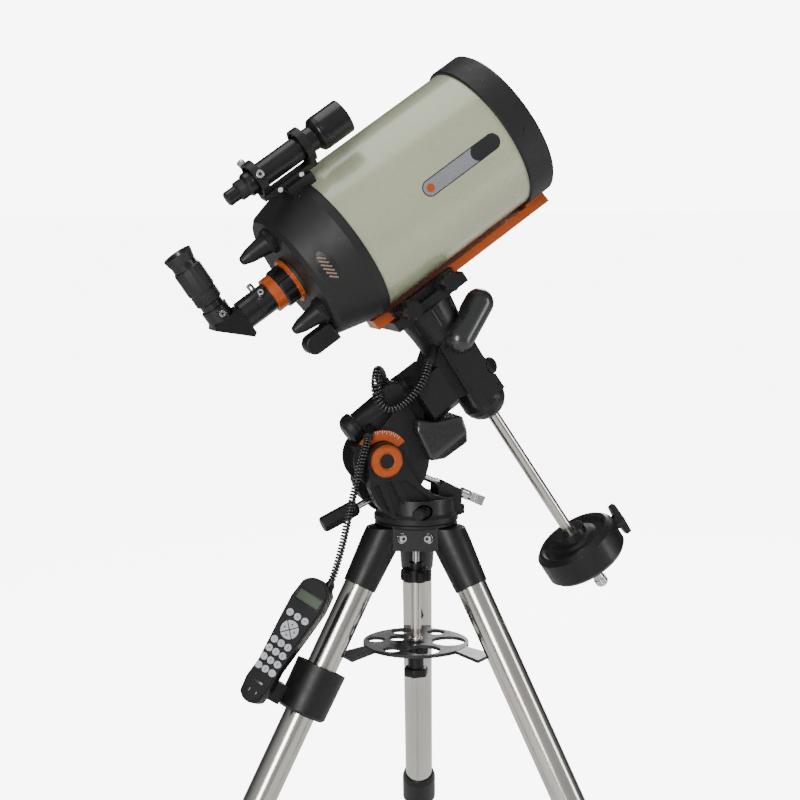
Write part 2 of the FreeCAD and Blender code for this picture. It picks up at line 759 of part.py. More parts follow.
def polar_housing():
    """The tilting casting: polar tube, barrel on the altitude axis and the sector the bolts push on."""
    tube = turned(
        [
            (0, POLAR_BACK + RUN),
            (POLAR_R[0], POLAR_BACK + RUN),
            (POLAR_R[1], DRUM_BACK - 14),
            (POLAR_R[1] + 1.5, DRUM_BACK - 10),
            (POLAR_R[1] + 1.5, DRUM_BACK - RUN),
            (0, DRUM_BACK - RUN),
        ]
    )
    tube = on_polar(tube)
    axis = HEAD.inverse().multVec(ALT_AXIS)
    drum = rod(TAIL_R, axis + Vector(0, -ARM_IN + 1, 0), axis + Vector(0, ARM_IN - 1, 0))
    web = slab(
        [
            (POLAR_BACK + 2, 8),
            (DRUM_BACK - RUN, 8),
            (DRUM_BACK - RUN, -44),
            (axis.x + 74, axis.z - 24),
            (axis.x + 30, axis.z - 45),
            (axis.x - 34, axis.z - 12),
            (axis.x - 20, -POLAR_CAP_R - 1.5),
            (POLAR_BACK + 2, -POLAR_CAP_R - 1.5),
        ],
        -17,
        17,
    )
    flank = slab(
        [
            (axis.x - 8, axis.z + 28),
            (DRUM_BACK - 18, -6),
            (DRUM_BACK - 18, -40),
            (axis.x + 60, axis.z - 30),
            (axis.x, axis.z),
        ],
        -SECTOR_HALF,
        SECTOR_HALF,
    )
    sector = rod(SECTOR_R, axis + Vector(0, -SECTOR_HALF, 0), axis + Vector(0, SECTOR_HALF, 0))
    low = math.radians(SECTOR_FROM - LATITUDE)
    high = math.radians(SECTOR_TO - LATITUDE)
    reach = 2 * SECTOR_R
    wedge = slab(
        [
            (axis.x, axis.z),
            (axis.x + reach * math.cos(low), axis.z + reach * math.sin(low)),
            (axis.x + reach * math.cos((low + high) / 2), axis.z + reach * math.sin((low + high) / 2)),
            (axis.x + reach * math.cos(high), axis.z + reach * math.sin(high)),
        ],
        -60,
        60,
    )
    boss = rod(12.0, Vector(RA_KNOB[0], 0, RA_KNOB[1]), Vector(RA_KNOB[0], -40 + RUN, RA_KNOB[1]))
    back, ahead = RA_KNOB[0] - 12, RA_KNOB[0] + 12
    boss_root = slab([(back, 0), (ahead, 0), (ahead, 20), (back, 20)], -30, 0)
    cheeks = [
        rod(CHEEK_R, axis + Vector(0, way * (POLAR_CAP_R + 0.7), 0), axis + Vector(0, way * (ARM_IN - 0.7), 0))
        for way in (-1, 1)
    ]
    keep = slab([(axis.x - 60, -100), (axis.x + 60, -100), (axis.x + 60, 12), (axis.x - 60, 12)], -60, 60)
    cheeks = [cheek.common(keep) for cheek in cheeks]
    shaft = rod(TRUNNION_R, axis + Vector(0, -ARM_OUT - 5, 0), axis + Vector(0, ARM_OUT + 5, 0))
    body = joined(tube, drum, web, flank, sector.common(wedge), boss, boss_root, shaft, *cheeks)
    body = head(body)
    ports = [
        port(Vector(*HAND_PORT), HAND_CORD[0], CORD_R),
        port(HEAD.multVec(Vector(*RA_PORT)), DEC_CORD[-1], DEC_CORD_R, RA_PORT_REACH),
    ]
    screw = rod(4.0 + SHAFT, Vector(RA_KNOB[0], -60, RA_KNOB[1]), Vector(RA_KNOB[0], -20, RA_KNOB[1]))
    return joined(body, *ports).cut(head(screw)).cut(head(on_polar(polar_bore())))


def polar_cap():
    """The cap over the polar bore."""
    start = POLAR_BACK
    end = POLAR_BACK - POLAR_CAP_LENGTH
    cap = turned(
        [
            (0, start),
            (POLAR_CAP_R - 1, start),
            (POLAR_CAP_R, start - 1),
            (POLAR_CAP_R, start - 9),
            (POLAR_CAP_R - 3, end + 4),
            (POLAR_CAP_R - 9, end),
            (0, end),
        ]
    )
    for k in range(12):
        cap = cap.cut(Part.makeCylinder(1.2, 7, polar(POLAR_CAP_R + 0.4, 30 * k, start - 8.5)))
    return head(on_polar(cap))


def ra_clutch_knob():
    """The polar axis's clutch knob."""
    knob = lobed_knob(RA_KNOB_R, 17.0, 8, 0.2)
    knob = joined(knob, Part.makeCylinder(4.0, 22, Vector(0, 0, -18)))
    return head(along(knob, Vector(RA_KNOB[0], -40, RA_KNOB[1]), Vector(0, -1, 0)))


def ra_motor_cover():
    """The cover over the polar axis's motor and board."""
    side = slab(
        [(-52, -78), (-64, -122), (-109, -120), (-132, -105), (-124, -52), (-112, -40), (-92, -60)], -42, 42
    )
    front = prism(
        [(-34, -36), (-42, -56), (-42, -102), (-28, -122), (28, -122), (42, -102), (42, -56), (34, -36)],
        160,
    )
    front.Placement = Placement(Matrix(0, 0, 1, -160, 1, 0, 0, 0, 0, 1, 0, 0)).multiply(front.Placement)
    body = side.common(front)
    body = body.cut(on_polar(Part.makeCylinder(DRUM_R + 1.2, 80, Vector(0, 0, DRUM_BACK - RUN))))
    return head(body.cut(polar_housing_in_head()))


def polar_housing_in_head():
    """The polar housing, back in the head frame."""
    return placed(polar_housing(), HEAD.inverse())


def clutch_way():
    """Unit direction out of the declination barrel along the clutch's screw."""
    angle = math.radians(DEC_CLUTCH_ANGLE)
    return Vector(math.cos(angle), -math.sin(angle), 0)


def dec_housing():
    """The casting that turns on the polar axis: drum, declination barrel and polar shaft."""
    drum = on_polar(Part.makeCylinder(DRUM_R, DRUM_FRONT - DRUM_BACK, Vector(0, 0, DRUM_BACK)))
    drum = drum.common(box((DRUM_BACK, -DRUM_HALF, -90), (DRUM_FRONT, DRUM_HALF, DRUM_TOP)))
    barrel = turned(
        [
            (0, DEC_N[2]),
            (DEC_R[2], DEC_N[2]),
            (DEC_R[1], DEC_N[1]),
            (DEC_R[0], DEC_N[0]),
            (0, DEC_N[0]),
        ]
    )
    neck = slab(
        [(DRUM_FRONT - 6, DRUM_TOP), (-12, 34), (-12, -62), (DRUM_FRONT - 6, -54)],
        -34,
        34,
    )
    panel = slab([(-24, 30), (24, 36), (27, -84), (-27, -84)], -DEC_R[1] - 5, 0)
    ledge = slab([(-19, 30), (19, 35), (22, -79), (-22, -79)], -DEC_R[1] - 6, 0)
    reach = DRUM_BACK - POLAR_BACK + 10
    shaft = on_polar(Part.makeCylinder(POLAR_SHAFT_R, reach, Vector(0, 0, POLAR_BACK + 2)))
    collar = placed(
        port(HEAD.multVec(Vector(*DEC_PORT)), DEC_CORD[0], DEC_CORD_R, DEC_PORT_REACH), HEAD.inverse()
    )
    body = joined(drum, barrel, neck, panel, ledge, shaft, collar)
    body = body.cut(Part.makeCylinder(DEC_SHAFT_R + SHAFT, 60, Vector(0, 0, DEC_N[0] - 42)))
    body = body.cut(Part.makeCylinder(CW_SHAFT_R, 60, Vector(0, 0, DEC_N[2] - 1)))
    way = clutch_way()
    seat = Vector(0, 0, DEC_CLUTCH_N)
    body = body.cut(rod(4.0 + SHAFT, seat + way * 20, seat + way * 60))
    body = body.cut(rod(DEC_CLUTCH_R + 1.0, seat + way * (DEC_R[1] + 1.5), seat + way * 80))
    return head(body)


def dec_end_cap():
    """The domed cap where the counterweight shaft leaves."""
    n = DEC_N[2]
    cap = turned(
        [
            (CW_SHAFT_R, n),
            (DEC_R[2], n),
            (DEC_R[2] + 0.5, n - 4),
            (DEC_R[2] - 3, n - 14),
            (DEC_R[2] - 9, n - 22),
            (DEC_R[2] - 16, n - DEC_CAP_LENGTH),
            (CW_SHAFT_R, n - DEC_CAP_LENGTH),
        ]
    )
    return head(cap)


def dec_clutch_knob():
    """The declination clutch."""
    way = clutch_way()
    knob = lobed_knob(DEC_CLUTCH_R, 11.0, 8, 0.18)
    knob = joined(knob, Part.makeCylinder(4.0, 18, Vector(0, 0, -14)))
    return head(along(knob, Vector(0, 0, DEC_CLUTCH_N) + way * (DEC_R[1] + 2.0), way))


def dec_motor_cover():
    """The rounded pod over the declination motor."""
    one, two = Vector(8, -40, 20), Vector(68, -28, 42)
    radius = 22.5
    pod = joined(
        Part.makeSphere(radius, one), rod(radius, one, two), Part.makeSphere(radius, two)
    )
    pod = pod.cut(Part.makeCylinder(CONE_R[1] + 1.5, 80, Vector(0, 0, DEC_N[0] - 0.2)))
    return head(pod.cut(placed(dec_housing(), HEAD.inverse())))


def cw_shaft():
    """The counterweight shaft."""
    top = DEC_N[2] + 40
    shaft = Part.makeCylinder(CW_SHAFT_R, top - CW_SHAFT_END, Vector(0, 0, CW_SHAFT_END))
    thread = Part.makeCylinder(5.0, 14, Vector(0, 0, CW_SHAFT_END - 12))
    return head(joined(shaft, thread))


def safety_nut():
    """The nut that stops the counterweight."""
    top = CW_SHAFT_END - 0.3
    nut = turned([(0, top), (NUT_R, top), (NUT_R, top - 9), (NUT_R - 3, top - 13), (0, top - 13)])
    nut = nut.cut(Part.makeCylinder(5.0 + SHAFT, 12.5, Vector(0, 0, top - 12.3)))
    for k in range(10):
        nut = nut.cut(Part.makeCylinder(1.2, 20, polar(NUT_R + 0.4, 36 * k, top - 16)))
    return head(nut)


def counterweight():
    """The counterweight."""
    top, low = CW_TOP, CW_TOP - CW_THICK
    bore = CW_SHAFT_R + SHAFT
    body = turned(
        [
            (bore, low + 6),
            (CW_R - 14, low + 6),
            (CW_R - 10, low),
            (CW_R - 5, low),
            (CW_R, low + 6),
            (CW_R, top - 7),
            (CW_R - 7, top),
            (CW_R - 12, top),
            (CW_R - 15, top - 4),
            (CW_COLLAR_R + 14, top - 4),
            (CW_COLLAR_R + 10, top),
            (CW_COLLAR_R + 2, top + 2),
            (CW_COLLAR_R, top + CW_COLLAR_H),
            (bore, top + CW_COLLAR_H),
        ]
    )
    hole = rod(4.0 + SHAFT, Vector(0, 0, low + 22), Vector(CW_R + 5, 0, low + 22))
    return head(body.cut(hole))


def cw_lock_knob():
    """The wing knob that locks the counterweight."""
    n = CW_TOP - CW_THICK + 22
    wing = slab([(0, -10), (6, -10), (8, -27), (17, -27), (18, 0), (17, 27), (8, 27), (6, 10), (0, 10)], -6, 6)
    wing = joined(wing, rod(10.0, Vector(0, 0, 0), Vector(17, 0, 0)))
    screw = rod(4.0, Vector(CW_SHAFT_R + RUN - CW_R, 0, 0), Vector(5, 0, 0))
    knob = joined(wing, screw)
    knob.translate(Vector(CW_R + 1.0, 0, n))
    return head(knob)


# ================================================================ saddle and dovetail
def dovetail_section(grow=0.0):
    """Half widths of the bar at its foot and its neck."""
    return DOVETAIL_HALF + grow, DOVETAIL_HALF - 4.0 + grow


def dovetail_bar():
    """The bar under the tube, with the two pads it is screwed by."""
    wide, narrow = dovetail_section()
    n0 = SADDLE_FLOOR + RUN
    n1 = n0 + DOVETAIL_H
    start, end = DOVETAIL_A
    bar = prism([(-wide, n0), (wide, n0), (narrow, n1), (-narrow, n1)], end - start, start)
    bar.Placement = Placement(Matrix(0, 0, 1, 0, 1, 0, 0, 0, 0, 1, 0, 0)).multiply(bar.Placement)
    pads = [
        box((DOVETAIL_A[0], -narrow, n1 - 2), (OTA_BACK - 3, narrow, n1 + 12)),
        box((OTA_FRONT + 2, -narrow, n1 - 2), (DOVETAIL_A[1], narrow, n1 + 12)),
    ]
    bar = placed(joined(bar, *pads), HEAD)
    length = OTA_FRONT + RING_LENGTH + 160
    return bar.cut(placed(Part.makeCylinder(RING_R, length, Vector(0, 0, -150)), OTA)).cut(rear_cell())


def saddle_head():
    """The turning head: spigot, cone, platform, fixed jaw and the two screw posts."""
    cone = turned(
        [
            (0, DEC_N[0] - 40),
            (DEC_SHAFT_R, DEC_N[0] - 40),
            (DEC_SHAFT_R, DEC_N[0] + RUN),
            (CONE_R[0], DEC_N[0] + RUN),
            (CONE_R[1], CONE_TOP),
            (0, CONE_TOP),
        ]
    )
    deck = box((SADDLE_A[0], SADDLE_Y[0], CONE_TOP - 1), (SADDLE_A[1], SADDLE_Y[1], SADDLE_FLOOR))
    wide, narrow = dovetail_section(0.0)
    top = SADDLE_FLOOR + RUN + DOVETAIL_H - 1
    seat = SADDLE_FLOOR + RUN
    lean = wide - (wide - narrow) * (top - seat) / DOVETAIL_H
    foot = SADDLE_FLOOR - 1
    side = wide + RUN
    far = SADDLE_Y[1]
    jaw = prism([(side, foot), (far, foot), (far, top), (lean + RUN + 0.1, top), (side, seat)], 100)
    jaw.Placement = Placement(Matrix(0, 0, 1, SADDLE_A[0] + 16, 1, 0, 0, 0, 0, 1, 0, 0)).multiply(jaw.Placement)
    parts = [cone, deck, jaw]
    for a in KNOB_A.values():
        parts.append(box((a - 15, SADDLE_Y[0], SADDLE_FLOOR - 1), (a + 15, -36, top)))
    body = joined(*parts)
    for k in range(6):
        notch = Part.makeCylinder(9, 30, polar(CONE_R[1] + 3, 60 * k + 30, 52))
        body = body.cut(notch)
    for a in KNOB_A.values():
        body = body.cut(rod(4.0 + SHAFT, Vector(a, -60, SADDLE_KNOB_N), Vector(a, -20, SADDLE_KNOB_N)))
    return head(body)


def saddle_jaw():
    """The moving jaw."""
    wide, narrow = dovetail_section()
    low = SADDLE_FLOOR + FLAT
    top = SADDLE_FLOOR + RUN + DOVETAIL_H
    lean = wide - (wide - narrow) * (top - low) / DOVETAIL_H
    jaw = prism([(JAW_BACK, low), (-wide - RUN, low), (-lean - RUN - 0.2, top), (JAW_BACK, top)], 114)
    jaw.Placement = Placement(Matrix(0, 0, 1, SADDLE_A[0] + 9, 1, 0, 0, 0, 0, 1, 0, 0)).multiply(jaw.Placement)
    for a in KNOB_A.values():
        jaw = jaw.cut(rod(4.0 + RUN, Vector(a, -60, SADDLE_KNOB_N), Vector(a, -23.0, SADDLE_KNOB_N)))
    return head(jaw)


def saddle_knob(name):
    """A saddle knob with its screw."""
    knob = lobed_knob(SADDLE_KNOB_R, 26.0, 6)
    collar = Part.makeCylinder(10.0, 8.0, Vector(0, 0, -7.5))
    screw = Part.makeCylinder(4.0, 24.0, Vector(0, 0, -22.0))
    knob = joined(knob, collar, screw)
    return head(along(knob, Vector(KNOB_A[name], SADDLE_Y[0] - 8, SADDLE_KNOB_N), Vector(0, -1, 0)))


# ================================================================ optical tube
def optical_tube():
    """The painted tube."""
    tube = Part.makeCylinder(OTA_R, OTA_FRONT - OTA_BACK, Vector(0, 0, OTA_BACK))
    bore = Part.makeCylinder(OTA_R - OTA_WALL, OTA_FRONT - OTA_BACK + 40, Vector(0, 0, OTA_BACK - 20))
    return placed(tube.cut(bore), OTA)


def front_ring():
    """The front ring, its retainer and its seat for the corrector."""
    bore = OTA_R - OTA_WALL
    end = OTA_FRONT + RING_LENGTH
    seat = CORRECTOR_R + 0.3
    lens_top = CORRECTOR_A + CORRECTOR_T
    ring = turned(
        [
            (bore - 3, OTA_FRONT - 10),
            (bore, OTA_FRONT - 10),
            (bore, OTA_FRONT),
            (RING_R - 1.5, OTA_FRONT),
            (RING_R, OTA_FRONT + 1.5),
            (RING_R, end - 5),
            (RING_R - 4, end - 1),
            (RING_R - 8, end),
            (RING_R - 12, end - 1),
            (seat + 1, lens_top + 5),
            (seat + 1, lens_top + 2.2),
            (CORRECTOR_R - 3, lens_top + 2.2),
            (CORRECTOR_R - 3, lens_top),
            (seat, lens_top),
            (seat, CORRECTOR_A),
            (CORRECTOR_R - 3, CORRECTOR_A),
            (CORRECTOR_R - 3, CORRECTOR_A - 3),
            (bore - 3, CORRECTOR_A - 8),
        ]
    )
    return placed(ring, OTA)


def corrector_plate():
    """The corrector plate."""
    plate = Part.makeCylinder(CORRECTOR_R, CORRECTOR_T, Vector(0, 0, CORRECTOR_A))
    return placed(plate.cut(Part.makeCylinder(SECONDARY_R - 5, 40, Vector(0, 0, CORRECTOR_A - 10))), OTA)


def secondary_holder():
    """The secondary mirror's cell in the middle of the corrector."""
    front = CORRECTOR_A + CORRECTOR_T
    core = SECONDARY_R - 5
    cell = turned(
        [
            (0, CORRECTOR_A - 26),
            (core - 3, CORRECTOR_A - 26),
            (core + 3, CORRECTOR_A - 22),
            (core + 3, CORRECTOR_A),
            (core, CORRECTOR_A),
            (core, front),
            (SECONDARY_R, front),
            (SECONDARY_R, front + 7),
            (SECONDARY_R - 3, front + 10),
            (SECONDARY_R - 8, front + 10),
            (SECONDARY_R - 9, front + 8),
            (0, front + 8),
        ]
    )
    return placed(cell, OTA)


def rear_cell():
    """The rear casting with its baffle tube and the finder's shoe."""
    bore = OTA_R - OTA_WALL
    back = CELL_BACK
    inner = CELL_BACK_R - 6
    cell = turned(
        [
            (19.0, back - 4),
            (34, back - 4),
            (36, back),
            (CELL_BACK_R - 6, back),
            (CELL_BACK_R, back + 6),
            (RING_R, OTA_BACK - 14),
            (RING_R, OTA_BACK - 1.5),
            (RING_R - 1.5, OTA_BACK),
            (bore, OTA_BACK),
            (bore, OTA_BACK + 10),
            (bore - 3, OTA_BACK + 10),
            (bore - 3, OTA_BACK - 12),
            (inner + 6, MIRROR_A[0] - 10),
            (inner - 6, back + 6),
            (BAFFLE_R, back + 6),
            (BAFFLE_R, BAFFLE_END),
            (19.0, BAFFLE_END),
        ]
    )
    cell = placed(cell, OTA)
    shoe = box((-131.0, -15, -86), (-112, 15, -44))
    shoe = shoe.cut(box((-140.0, -9.3, -90), (-124, 9.3, -40)))
    shoe = shoe.cut(Part.makeCylinder(OTA_R, 60, Vector(0, 0, OTA_BACK))).cut(
        Part.makeCylinder(OTA_R - 4, 100, Vector(0, 0, -90))
    )
    cell = joined(cell, placed(shoe, finder_frame()))
    for radius, degrees in REAR_KNOBS.values():
        hole = Part.makeCylinder(4.0 + SHAFT, 60, ota_point(radius, degrees, back - 20))
        cell = cell.cut(placed(hole, OTA))
    return cell


def primary_mirror():
    """The primary mirror, on its slide over the baffle tube."""
    low, high = MIRROR_A
    mirror = turned(
        [
            (BAFFLE_R + RUN, low),
            (MIRROR_R - 6, low),
            (MIRROR_R, low + 6),
            (MIRROR_R, high),
            (MIRROR_R * 0.6, high - 4.6, BAFFLE_R + 8, high - 6.2),
            (BAFFLE_R + 8, high),
            (BAFFLE_R + RUN, high),
        ]
    )
    return placed(mirror, OTA)


def bullet_knob(name):
    """A rear knob: focus or mirror lock."""
    radius, degrees = REAR_KNOBS[name]
    shape = turned(
        [
            (0, 0.3),
            (20, 0.3),
            (20, 7),
            (16.5, 10),
            (15.5, 12),
            (11, 40),
            (6.5, 53),
            (3, 55),
            (0, 55),
        ]
    )
    shape = joined(shape, Part.makeCylinder(4.0, 20, Vector(0, 0, -14)))
    for k in range(16):
        shape = shape.cut(Part.makeCylinder(0.9, 5, polar(20.3, 22.5 * k, 1.3)))
    return placed(along(shape, ota_point(radius, degrees, CELL_BACK), Vector(0, 0, -1)), OTA)


def rear_handle():
    """The grab handle on the rear cell."""
    bar = prism([(-15, -13), (15, -13), (15, 13), (-15, 13)], 38)
    bar = joined(bar, rod(15.0, Vector(0, -13, 38), Vector(0, 13, 38)))
    faces = [edge for edge in bar.Edges if edge.BoundBox.YLength < 0.01]
    rims = [edge for edge in faces if abs(abs(edge.BoundBox.YMin) - 13) < 0.01]
    bar = bar.makeFillet(4.0, rims)
    bar.rotate(Vector(0, 0, 0), Vector(1, 0, 0), 180)
    bar.translate(Vector(88, -32, CELL_BACK))
    return placed(bar, OTA)


def visual_back():
    """The port ring, the nut and the tube that takes the diagonal."""
    start = CELL_BACK - 4
    ring = turned([(19.0, start), (35, start), (35, start - 5), (19, start - 5)])
    for k in range(12):
        ring = ring.cut(Part.makeCylinder(2.2, 9, polar(35.6, 30 * k, start - 7)))
    hole = BARREL_R + SHAFT
    nut = turned([(hole, start - 5), (30, start - 5), (30, start - 24), (27.5, start - 27), (hole, start - 27)])
    for k in range(9):
        nut = nut.cut(Part.makeCylinder(4.6, 40, polar(33.2, 40 * k, start - 40)))
    tube = turned(
        [
            (BARREL_R + SHAFT, start - 27),
            (27, start - 27),
            (27, start - 41),
            (22, start - 41),
            (22, start - 66),
            (BARREL_R + SHAFT, start - 66),
        ]
    )
    body = joined(nut, tube)
    screws = []
    for degrees in (-35, 55):
        z = start - 54
        hole = rod(2.0, Vector(0, 0, z), ota_point(40, degrees, z))
        body = body.cut(hole)
        head_at = ota_point(26, degrees, z)
        screw = joined(
            rod(2.0, ota_point(BARREL_R + RUN, degrees, z), head_at),
            rod(4.5, ota_point(23, degrees, z), ota_point(33, degrees, z)),
        )
        screws.append(placed(screw, OTA))
    return [placed(ring, OTA), placed(body, OTA)] + screws


def star_diagonal():
    """The mirror diagonal with its eyepiece holder."""
    end = CELL_BACK - 4 - 66
    top = end - 24
    seat = end - 0.3
    nose = turned([(0, top), (22, top), (22, seat), (BARREL_R, seat), (BARREL_R, end + 42), (0, end + 42)])
    house = slab([(-282, 10), (-278, 16), (top, 16), (top, -27), (top - 6, -31)], -20, 20)
    house.Placement = Placement(Matrix(0, 0, -1, 0, 0, 1, 0, 0, 1, 0, 0, 0)).multiply(house.Placement)
    holder = rod(20.0, Vector(-14, 0, DIAGONAL_A), Vector(-36, 0, DIAGONAL_A))
    body = joined(nose, house, holder)
    body = body.cut(rod(BARREL_R + SHAFT, Vector(-4, 0, DIAGONAL_A), Vector(-60, 0, DIAGONAL_A)))
    light = Part.makeCylinder(13.0, 90, Vector(0, 0, DIAGONAL_A))
    body = body.cut(light)
    z = -27.0
    body = body.cut(rod(2.0, Vector(z, 0, DIAGONAL_A), Vector(z, -40, DIAGONAL_A)))
    screw = joined(
        rod(2.0, Vector(z, -BARREL_R - RUN, DIAGONAL_A), Vector(z, -24, DIAGONAL_A)),
        rod(4.5, Vector(z, -21, DIAGONAL_A), Vector(z, -31, DIAGONAL_A)),
    )
    return [placed(body, OTA), placed(screw, OTA)]


def eyepiece():
    """The eyepiece."""
    body = turned(
        [
            (0, 8),
            (BARREL_R - 2, 8),
            (BARREL_R, 10),
            (BARREL_R, 36.3),
            (17, 36.3),
            (17, 45),
            (19.5, 47),
            (19.5, 64),
            (20.5, 66),
            (20.5, 104),
            (19, 106),
            (19, 114),
            (22, 128),
            (18, 128),
            (15, 118),
            (0, 118),
        ]
    )
    return placed(along(body, Vector(0, 0, DIAGONAL_A), Vector(-1, 0, 0)), OTA)


def finder_frame():
    """The optical frame, turned so that -X points to the finder."""
    return OTA.multiply(Placement(Vector(0, 0, 0), Rotation(Vector(0, 0, 1), FINDER_ANGLE)))


def finder_bracket():
    """The finder's foot, spine, two rings and three screws."""
    foot = box((-131.0, -9, -84), (-124.3, 9, -46))
    spine = box((-139.0, -9, FINDER_RINGS[0] - 6), (-131.0, 9, FINDER_RINGS[1] + 6))
    parts = [foot, spine]
    for z in FINDER_RINGS:
        parts.append(Part.makeCylinder(27.5, 12, Vector(-FINDER_RADIUS, 0, z - 6)))
    body = joined(*parts)
    for z in FINDER_RINGS:
        body = body.cut(Part.makeCylinder(23.5, 30, Vector(-FINDER_RADIUS, 0, z - 15)))
    liner = Part.makeCylinder(23.5, 5, Vector(-FINDER_RADIUS, 0, FINDER_RINGS[1] - 2.5))
    liner = liner.cut(Part.makeCylinder(FINDER_TUBE_R, 30, Vector(-FINDER_RADIUS, 0, FINDER_RINGS[1] - 15)))
    screws = []
    for degrees in (-60, 60, 180):
        way = Vector(-math.cos(math.radians(degrees)), -math.sin(math.radians(degrees)), 0)
        centre = Vector(-FINDER_RADIUS, 0, FINDER_RINGS[0])
        reach = 37 if degrees != 180 else 25
        shank = rod(2.0, centre + way * FINDER_TUBE_R, centre + way * reach)
        if degrees != 180:
            shank = joined(shank, rod(5.5, centre + way * 28, centre + way * 38))
        body = body.cut(rod(2.0, centre, centre + way * 60)) if degrees != 180 else body
        screws.append(shank if degrees != 180 else rod(3.0, centre + way * FINDER_TUBE_R, centre + way * 23.5))
    frame = finder_frame()
    return [placed(shape, frame) for shape in [body, liner] + screws]


def finder_scope():
    """The finder."""
    shape = turned(
        [
            (0, -168),
            (9, -168),
            (11, -166),
            (11, -150),
            (14, -148),
            (14, -136),
            (FINDER_TUBE_R, -132),
            (FINDER_TUBE_R, -14),
            (25, -8),
            (26, 0),
            (26, 41),
            (24, 41),
            (24, 30),
            (0, 30),
        ]
    )
    shape.translate(Vector(-FINDER_RADIUS, 0, 0))
    return placed(shape, finder_frame())


# ================================================================ hand control and cords
def set_frame():
    """The hand control's frame: Z up along it, Y out of its face and X to the right, seen from behind."""
    place = Placement(Vector(SET_OUT, SET_NEAR, SET_DOWN), Rotation(Vector(0, 0, 1), -SET_TURN))
    lean = Placement(Vector(0, 0, 0), Rotation(Vector(0, 1, 0), -SET_LEAN))
    return leg_frame("left").multiply(place).multiply(lean)


def set_outline(grow=0.0):
    """The hand control's outline seen from the front, as points for the XZ plane."""
    end = SET_LENGTH / 2 + grow
    wide = SET_WIDTH / 2 + grow
    waist = SET_WAIST / 2 + grow
    side = [(wide - 3, end - 14), (wide, end - 40), (wide - 2.5, 25)]
    side += [(waist, -42), (waist + 2.5, 31 - end), (waist - 1, 9 - end)]
    left = [(-x, z) for x, z in side]
    left[0] = (0, end, *left[0])
    right = side[::-1]
    right[0] = (0, -end, *right[0])
    return left + right


def key_places(group):
    """Centres of the keys of one group on the hand control's face, as (x, z)."""
    if group == "direction":
        return [(1.1 * KEY_PITCH * k, KEY_TOP) for k in (-1, 0, 1)]
    return [(KEY_PITCH * k, NUMBER_TOP - KEY_ROW * row) for row in range(4) for k in (-1, 0, 1)]


def key_shape(group, grow, near, far):
    """One group's keys as separate solids, between two depths along Y; grown, they are the keys' wells."""
    made = [rod(KEY_R + grow, Vector(x, near, z), Vector(x, far, z)) for x, z in key_places(group)]
    if group == "direction":
        pad = rod(PAD_R + grow, Vector(0, near, PAD_Z), Vector(0, far, PAD_Z))
        for degrees in (45, 135):
            bar = box((-PAD_R - 1, near - 1, grow - PAD_GAP / 2), (PAD_R + 1, far + 1, PAD_GAP / 2 - grow))
            bar.rotate(Vector(0, 0, 0), Vector(0, 1, 0), degrees)
            bar.translate(Vector(0, 0, PAD_Z))
            pad = pad.cut(bar)
        made += pad.Solids
    return made


def gland_root():
    """The root of the hand control's gland, in the row's frame."""
    return set_frame().multVec(Vector(*GLAND))


def handset_case():
    """The hand control's case, with its window, key wells and cord gland."""
    face = SET_DEPTH / 2
    back = slab(set_outline(-2.5), -face, 0)
    front = slab(set_outline(), 2 - face, face - 3)
    lid = slab(set_outline(-3.0), 0, face)
    case = joined(back, front, lid)
    window = box((-WINDOW[0] / 2, face - 1.5, WINDOW[1]), (WINDOW[0] / 2, face + 5, WINDOW[2]))
    case = case.cut(window)
    for group in ("direction", "number"):
        for well in key_shape(group, FLAT, face - 4.0, face + 5):
            case = case.cut(well)
    case = placed(case.cut(tongue(RUN)), set_frame())
    return joined(case, port(gland_root(), HAND_CORD[-1], CORD_R, GLAND_REACH))


def handset_keys(group):
    """One group of keys, standing a little above the face."""
    face = SET_DEPTH / 2
    return [placed(key, set_frame()) for key in key_shape(group, 0.0, face - 4.0 + KEY_PLAY, face + KEY_RISE)]


def tongue(grow):
    """The block on the holder that the hand control's back hangs on; grown, its slot is open below."""
    low, high = TONGUE_Z
    wide = TONGUE_HALF + grow
    front = TONGUE_DEPTH + grow - SET_DEPTH / 2
    floor = low if grow == 0 else -SET_LENGTH
    return box((-wide, -SET_DEPTH / 2 - 30, floor), (wide, front, high + grow))


def handset_holder():
    """The cup clamped on the leg, with the tongue that carries the hand control."""
    low = HOLDER_TOP - HOLDER_LENGTH
    outer = HOLDER_R + HOLDER_WALL
    cup = turned(
        [
            (TUBE_R, low),
            (outer - 4, low),
            (outer, low + 4),
            (outer + 1, HOLDER_TOP),
            (HOLDER_R + 1, HOLDER_TOP),
            (HOLDER_R, low + 14),
            (TUBE_R + 5, low + 12),
            (TUBE_R + 5, low + 34),
            (TUBE_R, low + 34),
        ]
    )
    leg = leg_frame("left")
    cup = placed(cup, leg)
    arm = prism([(-8, -18), (8, -18), (8, -37), (-10, -57), (-27, -43), (-8, -24)], 30, -88)
    body = joined(cup, placed(joined(tongue(0.0), arm), set_frame()))
    for k in range(9):
        turn = 190 + 7 * k
        rib = rod(1.4, polar(outer + 1, turn, low + 5), polar(outer + 1, turn, HOLDER_TOP - 6))
        body = joined(body, placed(rib, leg))
    inside = turned(
        [
            (0, low - 5),
            (TUBE_R, low - 5),
            (TUBE_R, low + 34),
            (TUBE_R + 5, low + 34),
            (HOLDER_R, low + 36),
            (HOLDER_R, HOLDER_TOP),
            (0, HOLDER_TOP),
        ]
    )
    return body.cut(placed(inside, leg))


